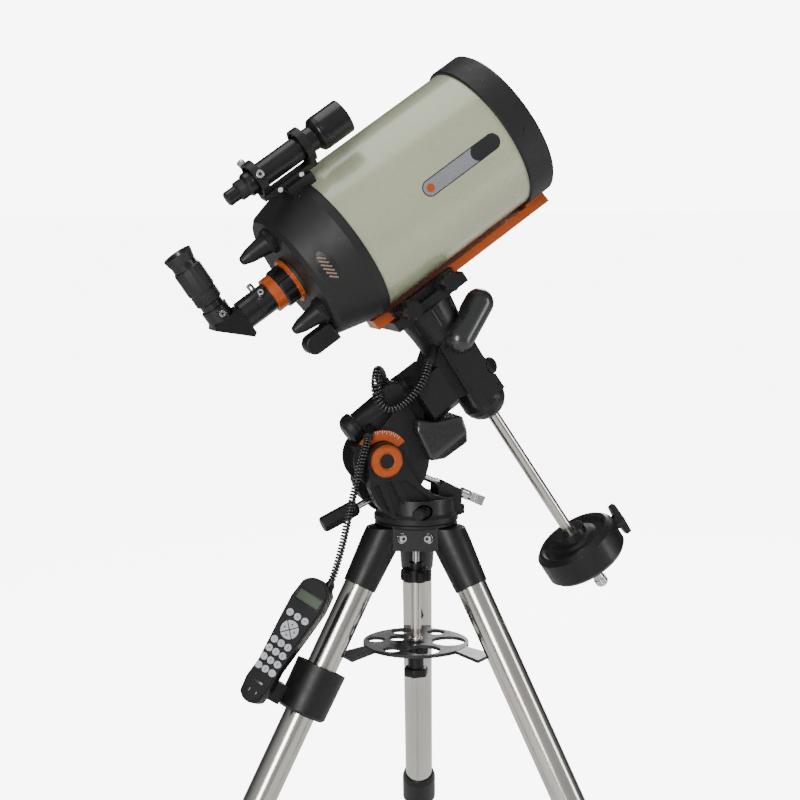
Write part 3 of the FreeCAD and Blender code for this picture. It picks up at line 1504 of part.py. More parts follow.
def route_wire(points, radii):
    """Straight runs joined by tangent arcs, as one wire; the arcs' radii are added to a list."""
    edges = []
    start = points[0]
    for k in range(1, len(points) - 1):
        corner = points[k]
        before = corner - points[k - 1]
        after = points[k + 1] - corner
        run = min(before.Length, after.Length)
        turn = before.getAngle(after)
        reach = 0.45 * run
        radii.append(reach / math.tan(turn / 2))
        into = corner - before.normalize() * reach
        out = corner + after.normalize() * reach
        pull = (into + out) * 0.5 - corner
        depth = radii[-1] * (1 / math.cos(turn / 2) - 1)
        middle = corner + pull.normalize() * depth
        edges.append(Part.LineSegment(start, into).toShape())
        edges.append(Part.Arc(into, middle, out).toShape())
        start = out
    edges.append(Part.LineSegment(start, points[-1]).toShape())
    return Part.Wire(edges)


def cord(name, points, radius):
    """A cord's tube along its route; prints its length, its radii and how its volume compares."""
    radii = []
    wire = route_wire([Vector(*point) for point in points], radii)
    first = wire.Edges[0]
    way = first.tangentAt(first.FirstParameter)
    ring = Part.Wire([Part.Circle(first.Vertexes[0].Point, way, radius).toShape()])
    tube = wire.makePipeShell([ring], True, False)
    share = tube.Volume / (math.pi * radius**2 * wire.Length)
    print(name, "length", round(wire.Length, 1), "volume share", round(share, 4))
    print(name, "arc radii", [round(value, 1) for value in radii])
    return tube


def hand_cord_route():
    """The hand control's cord, from the port on the polar housing down to the hand control."""
    top = port_end(gland_root(), HAND_CORD[-1], GLAND_REACH)
    return [tuple(port_end(Vector(*HAND_PORT), HAND_CORD[0])), *HAND_CORD, tuple(top)]


def dec_cord_route():
    """The declination cord, from its housing round the clutch knob to the polar housing."""
    start = port_end(HEAD.multVec(Vector(*DEC_PORT)), DEC_CORD[0], DEC_PORT_REACH)
    end = port_end(HEAD.multVec(Vector(*RA_PORT)), DEC_CORD[-1], RA_PORT_REACH)
    return [tuple(start), *DEC_CORD, tuple(end)]


def build_hand_control():
    """Writes the hand control, its holder and the two cords."""
    save("handset_case", handset_case())
    save("direction_keys", *handset_keys("direction"))
    save("number_keys", *handset_keys("number"))
    save("handset_holder", handset_holder())
    save("handset_cord", cord("handset_cord", hand_cord_route(), CORD_R))
    save("dec_cord", cord("dec_cord", dec_cord_route(), DEC_CORD_R))


def build_mount():
    """Writes every node of the mount."""
    save("azimuth_base", azimuth_base())
    save("azimuth_knob_near", azimuth_knob(-1))
    save("azimuth_knob_far", azimuth_knob(1))
    save("altitude_bolt_front", altitude_bolt_front())
    save("altitude_bolt_rear", altitude_bolt_rear())
    save("altitude_caps", *altitude_caps())
    save("polar_housing", polar_housing())
    save("polar_cap", polar_cap())
    save("ra_motor_cover", ra_motor_cover())
    save("ra_clutch_knob", ra_clutch_knob())
    save("dec_housing", dec_housing())
    save("dec_motor_cover", dec_motor_cover())
    save("dec_end_cap", dec_end_cap())
    save("dec_clutch_knob", dec_clutch_knob())
    save("cw_shaft", cw_shaft())
    save("counterweight", counterweight())
    save("cw_lock_knob", cw_lock_knob())
    save("safety_nut", safety_nut())


def build_telescope():
    """Writes every node above the declination axis."""
    save("saddle_head", saddle_head())
    save("saddle_jaw", saddle_jaw())
    save("saddle_knob_front", saddle_knob("front"))
    save("saddle_knob_rear", saddle_knob("rear"))
    save("dovetail_bar", dovetail_bar())
    save("optical_tube", optical_tube())
    save("front_ring", front_ring())
    save("corrector_plate", corrector_plate())
    save("secondary_holder", secondary_holder())
    save("rear_cell", rear_cell())
    save("primary_mirror", primary_mirror())
    save("focus_knob", bullet_knob("focus"))
    save("mirror_lock_knob", bullet_knob("lock"))
    save("rear_handle", rear_handle())
    save("visual_back", *visual_back())
    save("star_diagonal", *star_diagonal())
    save("eyepiece", eyepiece())
    save("finder_bracket", *finder_bracket())
    save("finder_scope", finder_scope())


build_tripod()
build_mount()
build_telescope()
build_hand_control()
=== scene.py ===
"""Catadioptric telescope on an equatorial mount: finishes, cords and fine pieces on its frame."""

import logging
import math
from dataclasses import dataclass
from enum import Enum
from typing import Optional, Sequence

import bmesh
import bpy
from mathutils import Matrix, Vector


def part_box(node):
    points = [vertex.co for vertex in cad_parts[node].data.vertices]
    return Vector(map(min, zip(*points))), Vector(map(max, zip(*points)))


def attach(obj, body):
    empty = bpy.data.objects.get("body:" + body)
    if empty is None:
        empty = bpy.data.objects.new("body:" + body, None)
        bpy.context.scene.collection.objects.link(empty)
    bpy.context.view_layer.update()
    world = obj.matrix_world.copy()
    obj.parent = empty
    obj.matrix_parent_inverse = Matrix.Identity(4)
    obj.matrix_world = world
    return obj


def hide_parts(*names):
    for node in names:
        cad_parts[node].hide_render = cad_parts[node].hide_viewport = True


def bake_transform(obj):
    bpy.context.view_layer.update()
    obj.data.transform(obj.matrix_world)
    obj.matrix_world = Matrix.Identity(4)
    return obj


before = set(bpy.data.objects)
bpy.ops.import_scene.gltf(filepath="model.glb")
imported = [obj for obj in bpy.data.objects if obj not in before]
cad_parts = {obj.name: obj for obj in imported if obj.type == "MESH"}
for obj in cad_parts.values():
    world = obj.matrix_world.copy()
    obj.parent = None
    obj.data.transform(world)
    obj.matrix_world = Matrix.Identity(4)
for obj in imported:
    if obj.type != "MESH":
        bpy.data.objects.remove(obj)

LOG = logging.getLogger("telescope")
MM = 0.001
FULL_TURN = 2 * math.pi
OWN = "_finish"  # ends the names of materials made here, which the frame's own plain ones lack

SEAM = 2e-6  # points nearer than this, in metres, are one
Colour = tuple[float, float, float]
Profile = Sequence[tuple[float, float]]
Point = tuple[float, float, float]


# ------------------------------------------------------------------ places
def shift(x: float, y: float, z: float) -> Matrix:
    """A move by millimetres."""
    return Matrix.Translation(Vector((x, y, z)) * MM)


def turn(degrees: float, axis: str) -> Matrix:
    """A turn about a frame's own axis."""
    return Matrix.Rotation(math.radians(degrees), 4, axis)


def aimed(start: Sequence[float], way: Sequence[float]) -> Matrix:
    """A frame at a point, in millimetres, whose Z looks along a direction.

    Args:
        start: The frame's origin.
        way: The direction its Z takes.

    Returns:
        The frame's matrix.
    """
    facing = Vector(way).to_track_quat("Z", "Y").to_matrix().to_4x4()
    return shift(*start) @ facing


class Side(Enum):
    """The tripod's legs, by the turn of each round the hub in degrees."""

    RIGHT = -52.25
    REAR = 67.75
    LEFT = 187.75


@dataclass(frozen=True)
class Layout:
    """The main frames of the object, in millimetres and degrees."""

    middle: Point = (40.0, -29.0, 0.0)
    hub_height: float = 695.0
    latitude: float = 34.56
    crossing: tuple[float, float] = (57.45, 254.04)
    tube_offset: float = 235.3
    leg_start: tuple[float, float] = (64.7, -34.4)
    leg_splay: float = 28.67
    leg_pivot: tuple[float, float] = (44.0, -20.0)
    tilt_axis: tuple[float, float] = (-65.0, 99.0)
    finder_turn: float = 17.7
    handset_offset: Point = (83.4, 18.5, -186.0)
    handset_turn: float = 47.0
    handset_lean: float = 7.0

    @property
    def hub(self) -> Matrix:
        """The top of the tripod's hub."""
        x, y, _ = self.middle
        return shift(x, y, self.hub_height)

    @property
    def head(self) -> Matrix:
        """The crossing of the two axes: X along the polar axis, Z along the declination axis."""
        return self.hub @ shift(self.crossing[0], 0, self.crossing[1]) @ turn(-self.latitude, "Y")

    @property
    def optics(self) -> Matrix:
        """The optical tube: Z along the optical axis to the sky, -X to the tube's top."""
        return self.head @ shift(0, 0, self.tube_offset) @ turn(90, "Y")

    @property
    def finder(self) -> Matrix:
        """The optical frame, turned so that -X points to the finder."""
        return self.optics @ turn(self.finder_turn, "Z")

    @property
    def tilt(self) -> Matrix:
        """The altitude axis, with Y along it."""
        return self.hub @ shift(self.tilt_axis[0], 0, self.tilt_axis[1])

    def leg(self, side: Side) -> Matrix:
        """A leg's frame: Z up along it and X outward."""
        swing = self.hub @ turn(side.value, "Z")
        return swing @ shift(self.leg_start[0], 0, self.leg_start[1]) @ turn(-self.leg_splay, "Y")

    def pivot(self, side: Side) -> Matrix:
        """A leg's hinge, with Y along its pin."""
        return self.hub @ turn(side.value, "Z") @ shift(self.leg_pivot[0], 0, self.leg_pivot[1])

    @property
    def handset(self) -> Matrix:
        """The hand control: Z up along it and Y out of its face."""
        place = self.leg(Side.LEFT) @ shift(*self.handset_offset)
        return place @ turn(-self.handset_turn, "Z") @ turn(-self.handset_lean, "Y")


PLAN = Layout()


def round_tube(radius: float, degrees: float, along: float) -> Point:
    """A point on the optical tube by its radius, its turn from the top to the near side, and its height.

    Args:
        radius: Distance from the optical axis.
        degrees: Turn from the tube's top towards the near side.
        along: Height along the optical axis.

    Returns:
        The point in the optical frame, in millimetres.
    """
    angle = math.radians(degrees)
    return (-radius * math.cos(angle), -radius * math.sin(angle), along)


# ------------------------------------------------------------------ finishes
class Wiring:
    """A material's nodes while they are being joined."""

    def __init__(self, name: str) -> None:
        """Start a material with a bare shader."""
        self.material = bpy.data.materials.new(name + OWN)
        self.material.use_nodes = True
        self.tree = self.material.node_tree
        self.shader = self.tree.nodes["Principled BSDF"]
        self.place = self.tree.nodes.new("ShaderNodeTexCoord").outputs["Object"]

    def add(self, kind: str, **settings: object) -> bpy.types.Node:
        """Make a node and set its properties."""
        node = self.tree.nodes.new("ShaderNode" + kind)
        for key, value in settings.items():
            setattr(node, key, value)
        return node

    def join(self, start: bpy.types.NodeSocket, end: bpy.types.NodeSocket) -> None:
        """Link two sockets."""
        self.tree.links.new(start, end)

    def noise(
        self, scale: float, detail: float, place: Optional[bpy.types.NodeSocket] = None
    ) -> bpy.types.NodeSocket:
        """Noise in the object's own frame.

        Args:
            scale: Waves to the metre.
            detail: Octaves.
            place: Where it is read, if not at the object's own coordinates.

        Returns:
            The noise's strength.
        """
        node = self.add("TexNoise")
        node.inputs["Scale"].default_value = scale
        node.inputs["Detail"].default_value = detail
        self.join(place or self.place, node.inputs["Vector"])
        return node.outputs["Fac"]

    def spread(self, factor: bpy.types.NodeSocket, low: float, high: float) -> bpy.types.NodeSocket:
        """The middle of a noise's range, spread between two values."""
        node = self.add("MapRange")
        node.inputs["From Min"].default_value = 0.3
        node.inputs["From Max"].default_value = 0.7
        node.inputs["To Min"].default_value = low
        node.inputs["To Max"].default_value = high
        self.join(factor, node.inputs["Value"])
        return node.outputs["Result"]

    def mix(
        self,
        factor: bpy.types.NodeSocket,
        first: Colour,
        second: Colour,
        under: Optional[bpy.types.NodeSocket] = None,
    ) -> bpy.types.NodeSocket:
        """Two colours by a factor.

        Args:
            factor: Share of the second colour.
            first: The first colour, unless a socket gives it.
            second: The second colour.
            under: A socket with the first colour.

        Returns:
            The mixed colour.
        """
        node = self.add("Mix", data_type="RGBA")
        sockets = {s.identifier: s for s in node.inputs}
        sockets["A_Color"].default_value = (*first, 1.0)
        sockets["B_Color"].default_value = (*second, 1.0)
        self.join(factor, sockets["Factor_Float"])
        if under is not None:
            self.join(under, sockets["A_Color"])
        return next(s for s in node.outputs if s.identifier == "Result_Color")

    def distance(self, origin: Sequence[float], way: Sequence[float]) -> bpy.types.NodeSocket:
        """Distance in metres along a direction from a point.

        Args:
            origin: The point, in metres.
            way: The direction.

        Returns:
            The distance at the shaded point.
        """
        node = self.add("VectorMath", operation="DOT_PRODUCT")
        node.inputs[1].default_value = Vector(way).normalized()
        self.join(self.place, node.inputs[0])
        less = self.add("Math", operation="SUBTRACT")
        less.inputs[1].default_value = Vector(origin).dot(Vector(way).normalized())
        self.join(node.outputs["Value"], less.inputs[0])
        return less.outputs["Value"]

    def relief(self, height: bpy.types.NodeSocket, depth: float, edge: float) -> None:
        """Raise the surface by a height and round its edges.

        Args:
            height: The pattern.
            depth: Its height in metres.
            edge: Radius of the rounded edges in metres.
        """
        bump = self.add("Bump")
        bump.inputs["Strength"].default_value = 1.0
        bump.inputs["Distance"].default_value = depth
        self.join(height, bump.inputs["Height"])
        if edge > 0:
            soft = self.add("Bevel", samples=4)
            soft.inputs["Radius"].default_value = edge
            self.join(soft.outputs["Normal"], bump.inputs["Normal"])
        self.join(bump.outputs["Normal"], self.shader.inputs["Normal"])

    def steady(self, **values: object) -> None:
        """Set the shader's own sockets."""
        for key, value in values.items():
            self.shader.inputs[key.replace("_", " ").title().replace("Ior", "IOR")].default_value = value


@dataclass(frozen=True)
class Band:
    """A stretch of another colour round a turned piece, in metres along its axis."""

    start: float
    end: float
    colour: Colour


@dataclass(frozen=True)
class Finish:
    """A moulded, cast, painted or plated surface."""

    name: str
    colour: Colour
    shade: Colour
    roughness: float
    metallic: float = 0.0
    coat: float = 0.0
    grain: float = 900.0
    grain_depth: float = 0.00004
    patch: float = 14.0
    gloss_change: float = 0.08
    edge: float = 0.0006
    specular: float = 0.5
    wear: float = 0.0
    wear_colour: Colour = (0.12, 0.12, 0.12)
    stretch: Optional[Point] = None
    bands: tuple[Band, ...] = ()
    band_origin: Point = (0.0, 0.0, 0.0)
    band_way: Point = (0.0, 0.0, 1.0)

    def make(self) -> bpy.types.Material:
        """Build the material, once."""
        known = bpy.data.materials.get(self.name + OWN)
        if known is not None:
            return known
        wiring = Wiring(self.name)
        wiring.steady(metallic=self.metallic, specular_ior_level=self.specular)
        wiring.steady(coat_weight=self.coat, coat_roughness=0.12)
        slow = wiring.spread(wiring.noise(self.patch, 4.0), 0.0, 1.0)
        tone = wiring.mix(slow, self.colour, self.shade)
        for band in self.bands:
            tone = self.banded(wiring, band, tone)
        if self.wear > 0:
            tone = self.worn(wiring, tone)
        wiring.join(tone, wiring.shader.inputs["Base Color"])
        place = self.drawn(wiring) if self.stretch else None
        fine = wiring.noise(1.0 if place else self.grain, 3.0, place)
        low, high = self.roughness - self.gloss_change / 2, self.roughness + self.gloss_change / 2
        source = fine if place else wiring.noise(self.patch * 5, 5.0)
        wiring.join(wiring.spread(source, low, high), wiring.shader.inputs["Roughness"])
        wiring.relief(fine, self.grain_depth, self.edge)
        return wiring.material

    def drawn(self, wiring: Wiring) -> bpy.types.NodeSocket:
        """Coordinates stretched into long lines along the stretch direction."""
        mapping = wiring.add("Mapping", vector_type="TEXTURE")
        mapping.inputs["Rotation"].default_value = Vector(self.stretch).to_track_quat("Z", "Y").to_euler()
        mapping.inputs["Scale"].default_value = (1 / 2600, 1 / 2600, 1 / 14)
        wiring.join(wiring.place, mapping.inputs["Vector"])
        return mapping.outputs["Vector"]

    def banded(self, wiring: Wiring, band: Band, tone: bpy.types.NodeSocket) -> bpy.types.NodeSocket:
        """Lay one band over a colour."""
        along = wiring.distance(self.band_origin, self.band_way)
        gate = wiring.add("Math", operation="COMPARE")
        gate.inputs[1].default_value = (band.start + band.end) / 2
        gate.inputs[2].default_value = abs(band.end - band.start) / 2
        wiring.join(along, gate.inputs[0])
        return wiring.mix(gate.outputs["Value"], band.colour, band.colour, tone)

    def worn(self, wiring: Wiring, tone: bpy.types.NodeSocket) -> bpy.types.NodeSocket:
        """Lighten the sharp edges a little, unevenly."""
        soft = wiring.add("Bevel", samples=4)
        soft.inputs["Radius"].default_value = 0.0011
        plain = wiring.add("NewGeometry")
        dot = wiring.add("VectorMath", operation="DOT_PRODUCT")
        wiring.join(soft.outputs["Normal"], dot.inputs[0])
        wiring.join(plain.outputs["Normal"], dot.inputs[1])
        edge = wiring.add("MapRange")
        edge.inputs["From Min"].default_value = 0.97
        edge.inputs["From Max"].default_value = 0.80
        edge.inputs["To Max"].default_value = self.wear
        wiring.join(dot.outputs["Value"], edge.inputs["Value"])
        uneven = wiring.add("Math", operation="MULTIPLY")
        wiring.join(edge.outputs["Result"], uneven.inputs[0])
        wiring.join(wiring.spread(wiring.noise(120.0, 3.0), 0.2, 1.0), uneven.inputs[1])
        return wiring.mix(uneven.outputs["Value"], self.wear_colour, self.wear_colour, tone)


@dataclass(frozen=True)
class Glass:
    """A coated lens."""

    name: str
    tint: Colour
    depth: Colour

    def make(self) -> bpy.types.Material:
        """Build the material, once."""
        known = bpy.data.materials.get(self.name + OWN)
        if known is not None:
            return known
        wiring = Wiring(self.name)
        wiring.steady(ior=1.5, transmission_weight=1.0)
        wiring.steady(coat_weight=0.6, coat_roughness=0.02, coat_tint=(*self.tint, 1))
        film = wiring.spread(wiring.noise(9.0, 2.0), 0.0, 1.0)
        wiring.join(wiring.mix(film, self.depth, self.tint), wiring.shader.inputs["Base Color"])
        smear = wiring.spread(wiring.noise(40.0, 3.0), 0.005, 0.03)
        wiring.join(smear, wiring.shader.inputs["Roughness"])
        return wiring.material


OPTICAL_WAY = tuple(PLAN.optics.to_3x3() @ Vector((0, 0, 1)))
OPTICAL_ORIGIN = tuple(PLAN.optics.translation)
EYEPIECE_WAY = tuple(PLAN.optics.to_3x3() @ Vector((-1, 0, 0)))
ORANGE: Colour = (0.50, 0.088, 0.010)

ENAMEL = Finish(
    "tube_enamel", (0.42, 0.445, 0.30), (0.395, 0.42, 0.275), 0.27, 0.10, 0.45, 2200, 0.000006, 5
)
CELL = Finish(
    "cell_satin", (0.010, 0.0093, 0.0088), (0.008, 0.0074, 0.007), 0.52, grain=1500,
    grain_depth=0.00002, specular=0.4
)
CASTING = Finish(
    "black_casting", (0.0095, 0.0092, 0.009), (0.007, 0.0068, 0.0068), 0.42, coat=0.08,
    specular=0.32, wear=0.22
)
PLASTIC = Finish(
    "black_plastic", (0.0085, 0.0083, 0.008), (0.006, 0.006, 0.006), 0.42, grain=1300,
    specular=0.34, wear=0.12
)
SHELL = Finish(
    "shell_plastic", (0.0045, 0.0045, 0.0045), (0.0035, 0.0035, 0.0035), 0.36, grain=1300,
    specular=0.22
)
TRAY = Finish(
    "tray_plastic", (0.014, 0.014, 0.016), (0.010, 0.010, 0.012), 0.38, grain=1100,
    grain_depth=0.00006
)
COVER = Finish(
    "cover_plastic", (0.018, 0.018, 0.019), (0.014, 0.014, 0.015), 0.28, coat=0.4,
    grain_depth=0.00001
)
RUBBER = Finish("grip_rubber", (0.007, 0.007, 0.007), (0.010, 0.0095, 0.0095), 0.58, grain=700, edge=0.0004)
KEYS = Finish("key_rubber", (0.47, 0.49, 0.52), (0.42, 0.44, 0.47), 0.48, grain=1500, grain_depth=0.00001)
ANODISED = Finish("orange_anodised", ORANGE, (0.46, 0.074, 0.008), 0.32, 0.35, 0.25, 1800, 0.00001)
CHROME = Finish(
    "bright_chrome", (0.80, 0.80, 0.81), (0.72, 0.72, 0.74), 0.10, 1.0, grain_depth=0.000003,
    edge=0.0004
)
BLACKED = Finish(
    "black_anodised", (0.008, 0.008, 0.0085), (0.006, 0.006, 0.0065), 0.30, 0.2, 0.15, 1600,
    0.00001
)
JACKET = Finish(
    "cord_jacket", (0.006, 0.006, 0.0065), (0.009, 0.009, 0.0095), 0.26, coat=0.5,
    grain_depth=0.00001
)
MIRROR = Finish(
    "silvered_mirror", (0.88, 0.89, 0.91), (0.84, 0.86, 0.88), 0.04, 1.0, grain_depth=0.0,
    gloss_change=0.02
)
PRINT = Finish("pale_print", (0.55, 0.55, 0.54), (0.45, 0.45, 0.44), 0.5, grain_depth=0.00001, edge=0.0)
INK = Finish("dark_print", (0.03, 0.03, 0.035), (0.05, 0.05, 0.055), 0.5, grain_depth=0.00001, edge=0.0)
DISPLAY = Finish(
    "display_panel", (0.075, 0.095, 0.062), (0.06, 0.078, 0.05), 0.5, grain_depth=0.0, edge=0.0,
    specular=0.3
)
BADGE = Finish(
    "badge_black", (0.008, 0.008, 0.009), (0.010, 0.010, 0.011), 0.22, coat=0.5, grain_depth=0.0,
    edge=0.0
)
RIM = Finish("badge_silver", (0.42, 0.43, 0.45), (0.36, 0.37, 0.39), 0.28, 0.7, grain_depth=0.0, edge=0.0)
LOUVRE = Finish("louvre_bronze", (0.30, 0.215, 0.155), (0.24, 0.17, 0.12), 0.35, 0.3, grain_depth=0.00001)
BACK_TUBE = Finish(
    "visual_back_tube",
    BLACKED.colour,
    BLACKED.shade,
    0.32,
    0.15,
    0.15,
    1600,
    0.00001,
    bands=(Band(-0.1492, -0.1430, ORANGE), Band(-0.1848, -0.1704, ORANGE)),
    band_origin=OPTICAL_ORIGIN,
    band_way=OPTICAL_WAY,
)
EYEPIECE = Finish(
    "eyepiece_barrel",
    BLACKED.colour,
    BLACKED.shade,
    0.34,
    0.15,
    0.1,
    bands=(Band(0.0490, 0.0500, (0.35, 0.13, 0.03)), Band(0.0590, 0.0600, (0.35, 0.13, 0.03))),
    band_origin=tuple(PLAN.optics @ (Vector((0, 0, -261.0)) * MM)),
    band_way=EYEPIECE_WAY,
)
CORRECTOR = Glass("corrector_glass", (0.90, 0.98, 0.94), (0.97, 1.0, 0.99))
LENS = Glass("coated_lens", (0.45, 0.40, 0.72), (0.75, 0.85, 0.90))


def stainless(name: str, way: Sequence[float]) -> Finish:
    """Brushed stainless steel whose grain runs along a direction.

    Args:
        name: The material's name.
        way: The grain's direction.

    Returns:
        The finish.
    """
    return Finish(
        name,
        (0.66, 0.625, 0.57),
        (0.60, 0.57, 0.525),
        0.17,
        1.0,
        grain_depth=0.000004,
        gloss_change=0.10,
        edge=0.0003,
        stretch=tuple(way),
    )


# ------------------------------------------------------------------ shaping
def lathe(profile: Profile, steps: int = 48) -> bmesh.types.BMesh:
    """Turn a profile of radius and height, in millimetres, round Z.

    Args:
        profile: Points from one end of the shell to the other; a ring's profile ends where it starts.
        steps: Facets in the full turn.

    Returns:
        The turned shell.
    """
    mesh = bmesh.new()
    closed = profile[0] == profile[-1]
    points = profile[:-1] if closed else profile
    verts = [mesh.verts.new((radius * MM, 0, height * MM)) for radius, height in points]
    ends = verts[1:] + verts[:1] if closed else verts[1:]
    edges = [mesh.edges.new(pair) for pair in zip(verts, ends)]
    bmesh.ops.spin(
        mesh,
        geom=[*verts, *edges],
        cent=(0, 0, 0),
        axis=(0, 0, 1),
        angle=FULL_TURN,
        steps=steps,
        use_merge=True,
    )
    return mesh


def block(size: Point, bevel: float = 0.0, place: Optional[Matrix] = None) -> bmesh.types.BMesh:
    """A block about its middle, with rounded edges, in millimetres.

    Args:
        size: Its three sides.
        bevel: Width of its rounded edges.
        place: Where it stands.

    Returns:
        The block.
    """
    mesh = bmesh.new()
    bmesh.ops.create_cube(mesh, size=MM, matrix=Matrix.Diagonal((*size, 1.0)))
    if bevel > 0:
        bmesh.ops.bevel(
            mesh,
            geom=mesh.edges[:],
            offset=bevel * MM,
            affect="EDGES",
            segments=2,
            profile=0.5,
            material=-1,
            clamp_overlap=True,
        )
    if place is not None:
        mesh.transform(place)
    return mesh


def gather(pieces: Sequence[bmesh.types.BMesh]) -> bmesh.types.BMesh:
    """Put several meshes in one.

    Args:
        pieces: The meshes, which are freed.

    Returns:
        One mesh with all of them.
    """
    whole = bmesh.new()
    for piece in pieces:
        part = bpy.data.meshes.new("part")
        piece.to_mesh(part)
        piece.free()
        whole.from_mesh(part)
        bpy.data.meshes.remove(part)
    return whole


def stadium(length: float, height: float, thick: float, radius: float) -> bmesh.types.BMesh:
    """A plate with round ends, bent round the optical tube and lying along it.

    Args:
        length: Its length along the tube.
        height: Its width round the tube.
        thick: How far it stands off.
        radius: The tube's radius.

    Returns:
        The plate, with X along the tube, Y round it and Z out of it.
    """
    mesh = bmesh.new()
    bmesh.ops.create_circle(mesh, cap_ends=True, segments=48, radius=height / 2 * MM)
    stretch = (length - height) / 2 * MM
    for vert in mesh.verts:
        vert.co.x += math.copysign(stretch, vert.co.x) if abs(vert.co.x) > 1e-7 else 0.0
    for step in range(-3, 4):
        geometry = [*mesh.verts, *mesh.edges, *mesh.faces]
        bmesh.ops.bisect_plane(
            mesh, geom=geometry, plane_co=(0, step * height / 8 * MM, 0), plane_no=(0, 1, 0)
        )
    raised = bmesh.ops.extrude_face_region(mesh, geom=mesh.faces[:])
    lifted = [part for part in raised["geom"] if isinstance(part, bmesh.types.BMVert)]
    bmesh.ops.translate(mesh, verts=lifted, vec=(0, 0, thick * MM))
    for vert in mesh.verts:
        vert.co.z += math.sqrt((radius * MM) ** 2 - vert.co.y**2) - radius * MM
    return mesh


def leaf(length: float, width: float, thick: float, radius: float) -> bmesh.types.BMesh:
    """A pointed oval plate that lies round the optical tube.

    Args:
        length: Its length round the tube.
        width: Its width along the tube.
        thick: How far it stands off.
        radius: The tube's radius.

    Returns:
        The plate, with X along the tube, Y round it and Z out of it.
    """
    points = []
    for step in range(48):
        angle = FULL_TURN * step / 48
        share = math.sin(angle)
        points.append((width / 2 * math.cos(angle) * (1 - 0.3 * share**2), length / 2 * share))
    mesh = bmesh.new()
    lower = [mesh.verts.new((x * MM, y * MM, drop(y, radius) * MM)) for x, y in points]
    upper = [mesh.verts.new((x * MM, y * MM, (drop(y, radius) + thick) * MM)) for x, y in points]
    for step in range(48):
        after = (step + 1) % 48
        mesh.faces.new((lower[step], lower[after], upper[after], upper[step]))
    for ring in (lower, upper):
        for step in range(23):
            left, right = (11 - step) % 48, (13 + step) % 48
            corners = [ring[(12 - step) % 48], ring[left], ring[right], ring[(12 + step) % 48]]
            mesh.faces.new([corner for n, corner in enumerate(corners) if corner not in corners[:n]])
        mesh.faces.new((ring[37], ring[36], ring[35]))
    return mesh


def drop(across: float, radius: float) -> float:
    """How far a round skin falls away at a distance from its highest line, as a negative height."""
    return math.sqrt(radius**2 - across**2) - radius


def knurled(radius: float, height: float) -> bmesh.types.BMesh:
    """A small knurled thumb-screw head that stands on its frame's ground plane.

    Args:
        radius: Its radius in millimetres.
        height: Its height in millimetres.

    Returns:
        The head.
    """
    profile = [(0.0, 0.0), (radius - 0.4, 0.0), (radius, 0.4), (radius, height - 0.4)]
    dish = height - 0.6
    profile += [(radius - 0.5, height), (radius * 0.45, height), (radius * 0.4, dish), (0.0, dish)]
    head = lathe(profile, 36)
    for vert in head.verts:
        flat = Vector((vert.co.x, vert.co.y, 0))
        if flat.length > (radius - 0.2) * MM:
            step = round(math.degrees(math.atan2(flat.y, flat.x)) / 10)
            vert.co -= flat.normalized() * (0.35 * MM if step % 2 else 0.0)
    return head


def finished(
    name: str,
    mesh: bmesh.types.BMesh,
    place: Matrix,
    finish: object,
    body: str,
    smooth: float = 32.0,
) -> bpy.types.Object:
    """Set a shaped mesh in its place as a piece that rides on a body.

    Args:
        name: The piece's name.
        mesh: Its mesh, in its own frame; it is freed.
        place: That frame in the object.
        finish: What it is finished in.
        body: The body it moves with.
        smooth: Faces that meet at a smaller angle, in degrees, are shaded as one.

    Returns:
        The piece.
    """
    bmesh.ops.remove_doubles(mesh, verts=mesh.verts[:], dist=SEAM)
    bmesh.ops.recalc_face_normals(mesh, faces=mesh.faces[:])
    mesh.transform(place)
    data = bpy.data.meshes.new(name)
    mesh.to_mesh(data)
    mesh.free()
    data.shade_smooth()
    data.set_sharp_from_angle(angle=math.radians(smooth))
    data.materials.append(finish.make())
    piece = bpy.data.objects.new(name, data)
    bpy.context.scene.collection.objects.link(piece)
    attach(piece, body)
    LOG.info("%s: %d faces on %s", name, len(data.polygons), body)
    return piece


def dress(finish: object, *nodes: str) -> None:
    """Give frame nodes a finish."""
    material = finish.make()
    for node in nodes:
        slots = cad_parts[node].material_slots
        for slot in slots:
            slot.material = material
        LOG.info("%s wears %s", node, material.name)


def lettering(words: str, height: float, depth: float) -> bmesh.types.BMesh:
    """A short text as a mesh about its middle, in millimetres.

    Args:
        words: The characters.
        height: Their height.
        depth: How far they stand out.

    Returns:
        The letters, facing along Z.
    """
    curve = bpy.data.curves.new("letters", "FONT")
    curve.body = words
    curve.size = height * MM
    curve.extrude = depth / 2 * MM
    curve.align_x = "CENTER"
    curve.align_y = "CENTER"
    curve.resolution_u = 3
    carrier = bpy.data.objects.new("letters", curve)
    data = bpy.data.meshes.new_from_object(carrier)
    mesh = bmesh.new()
    mesh.from_mesh(data)
    bpy.data.objects.remove(carrier)
    bpy.data.meshes.remove(data)
    return mesh


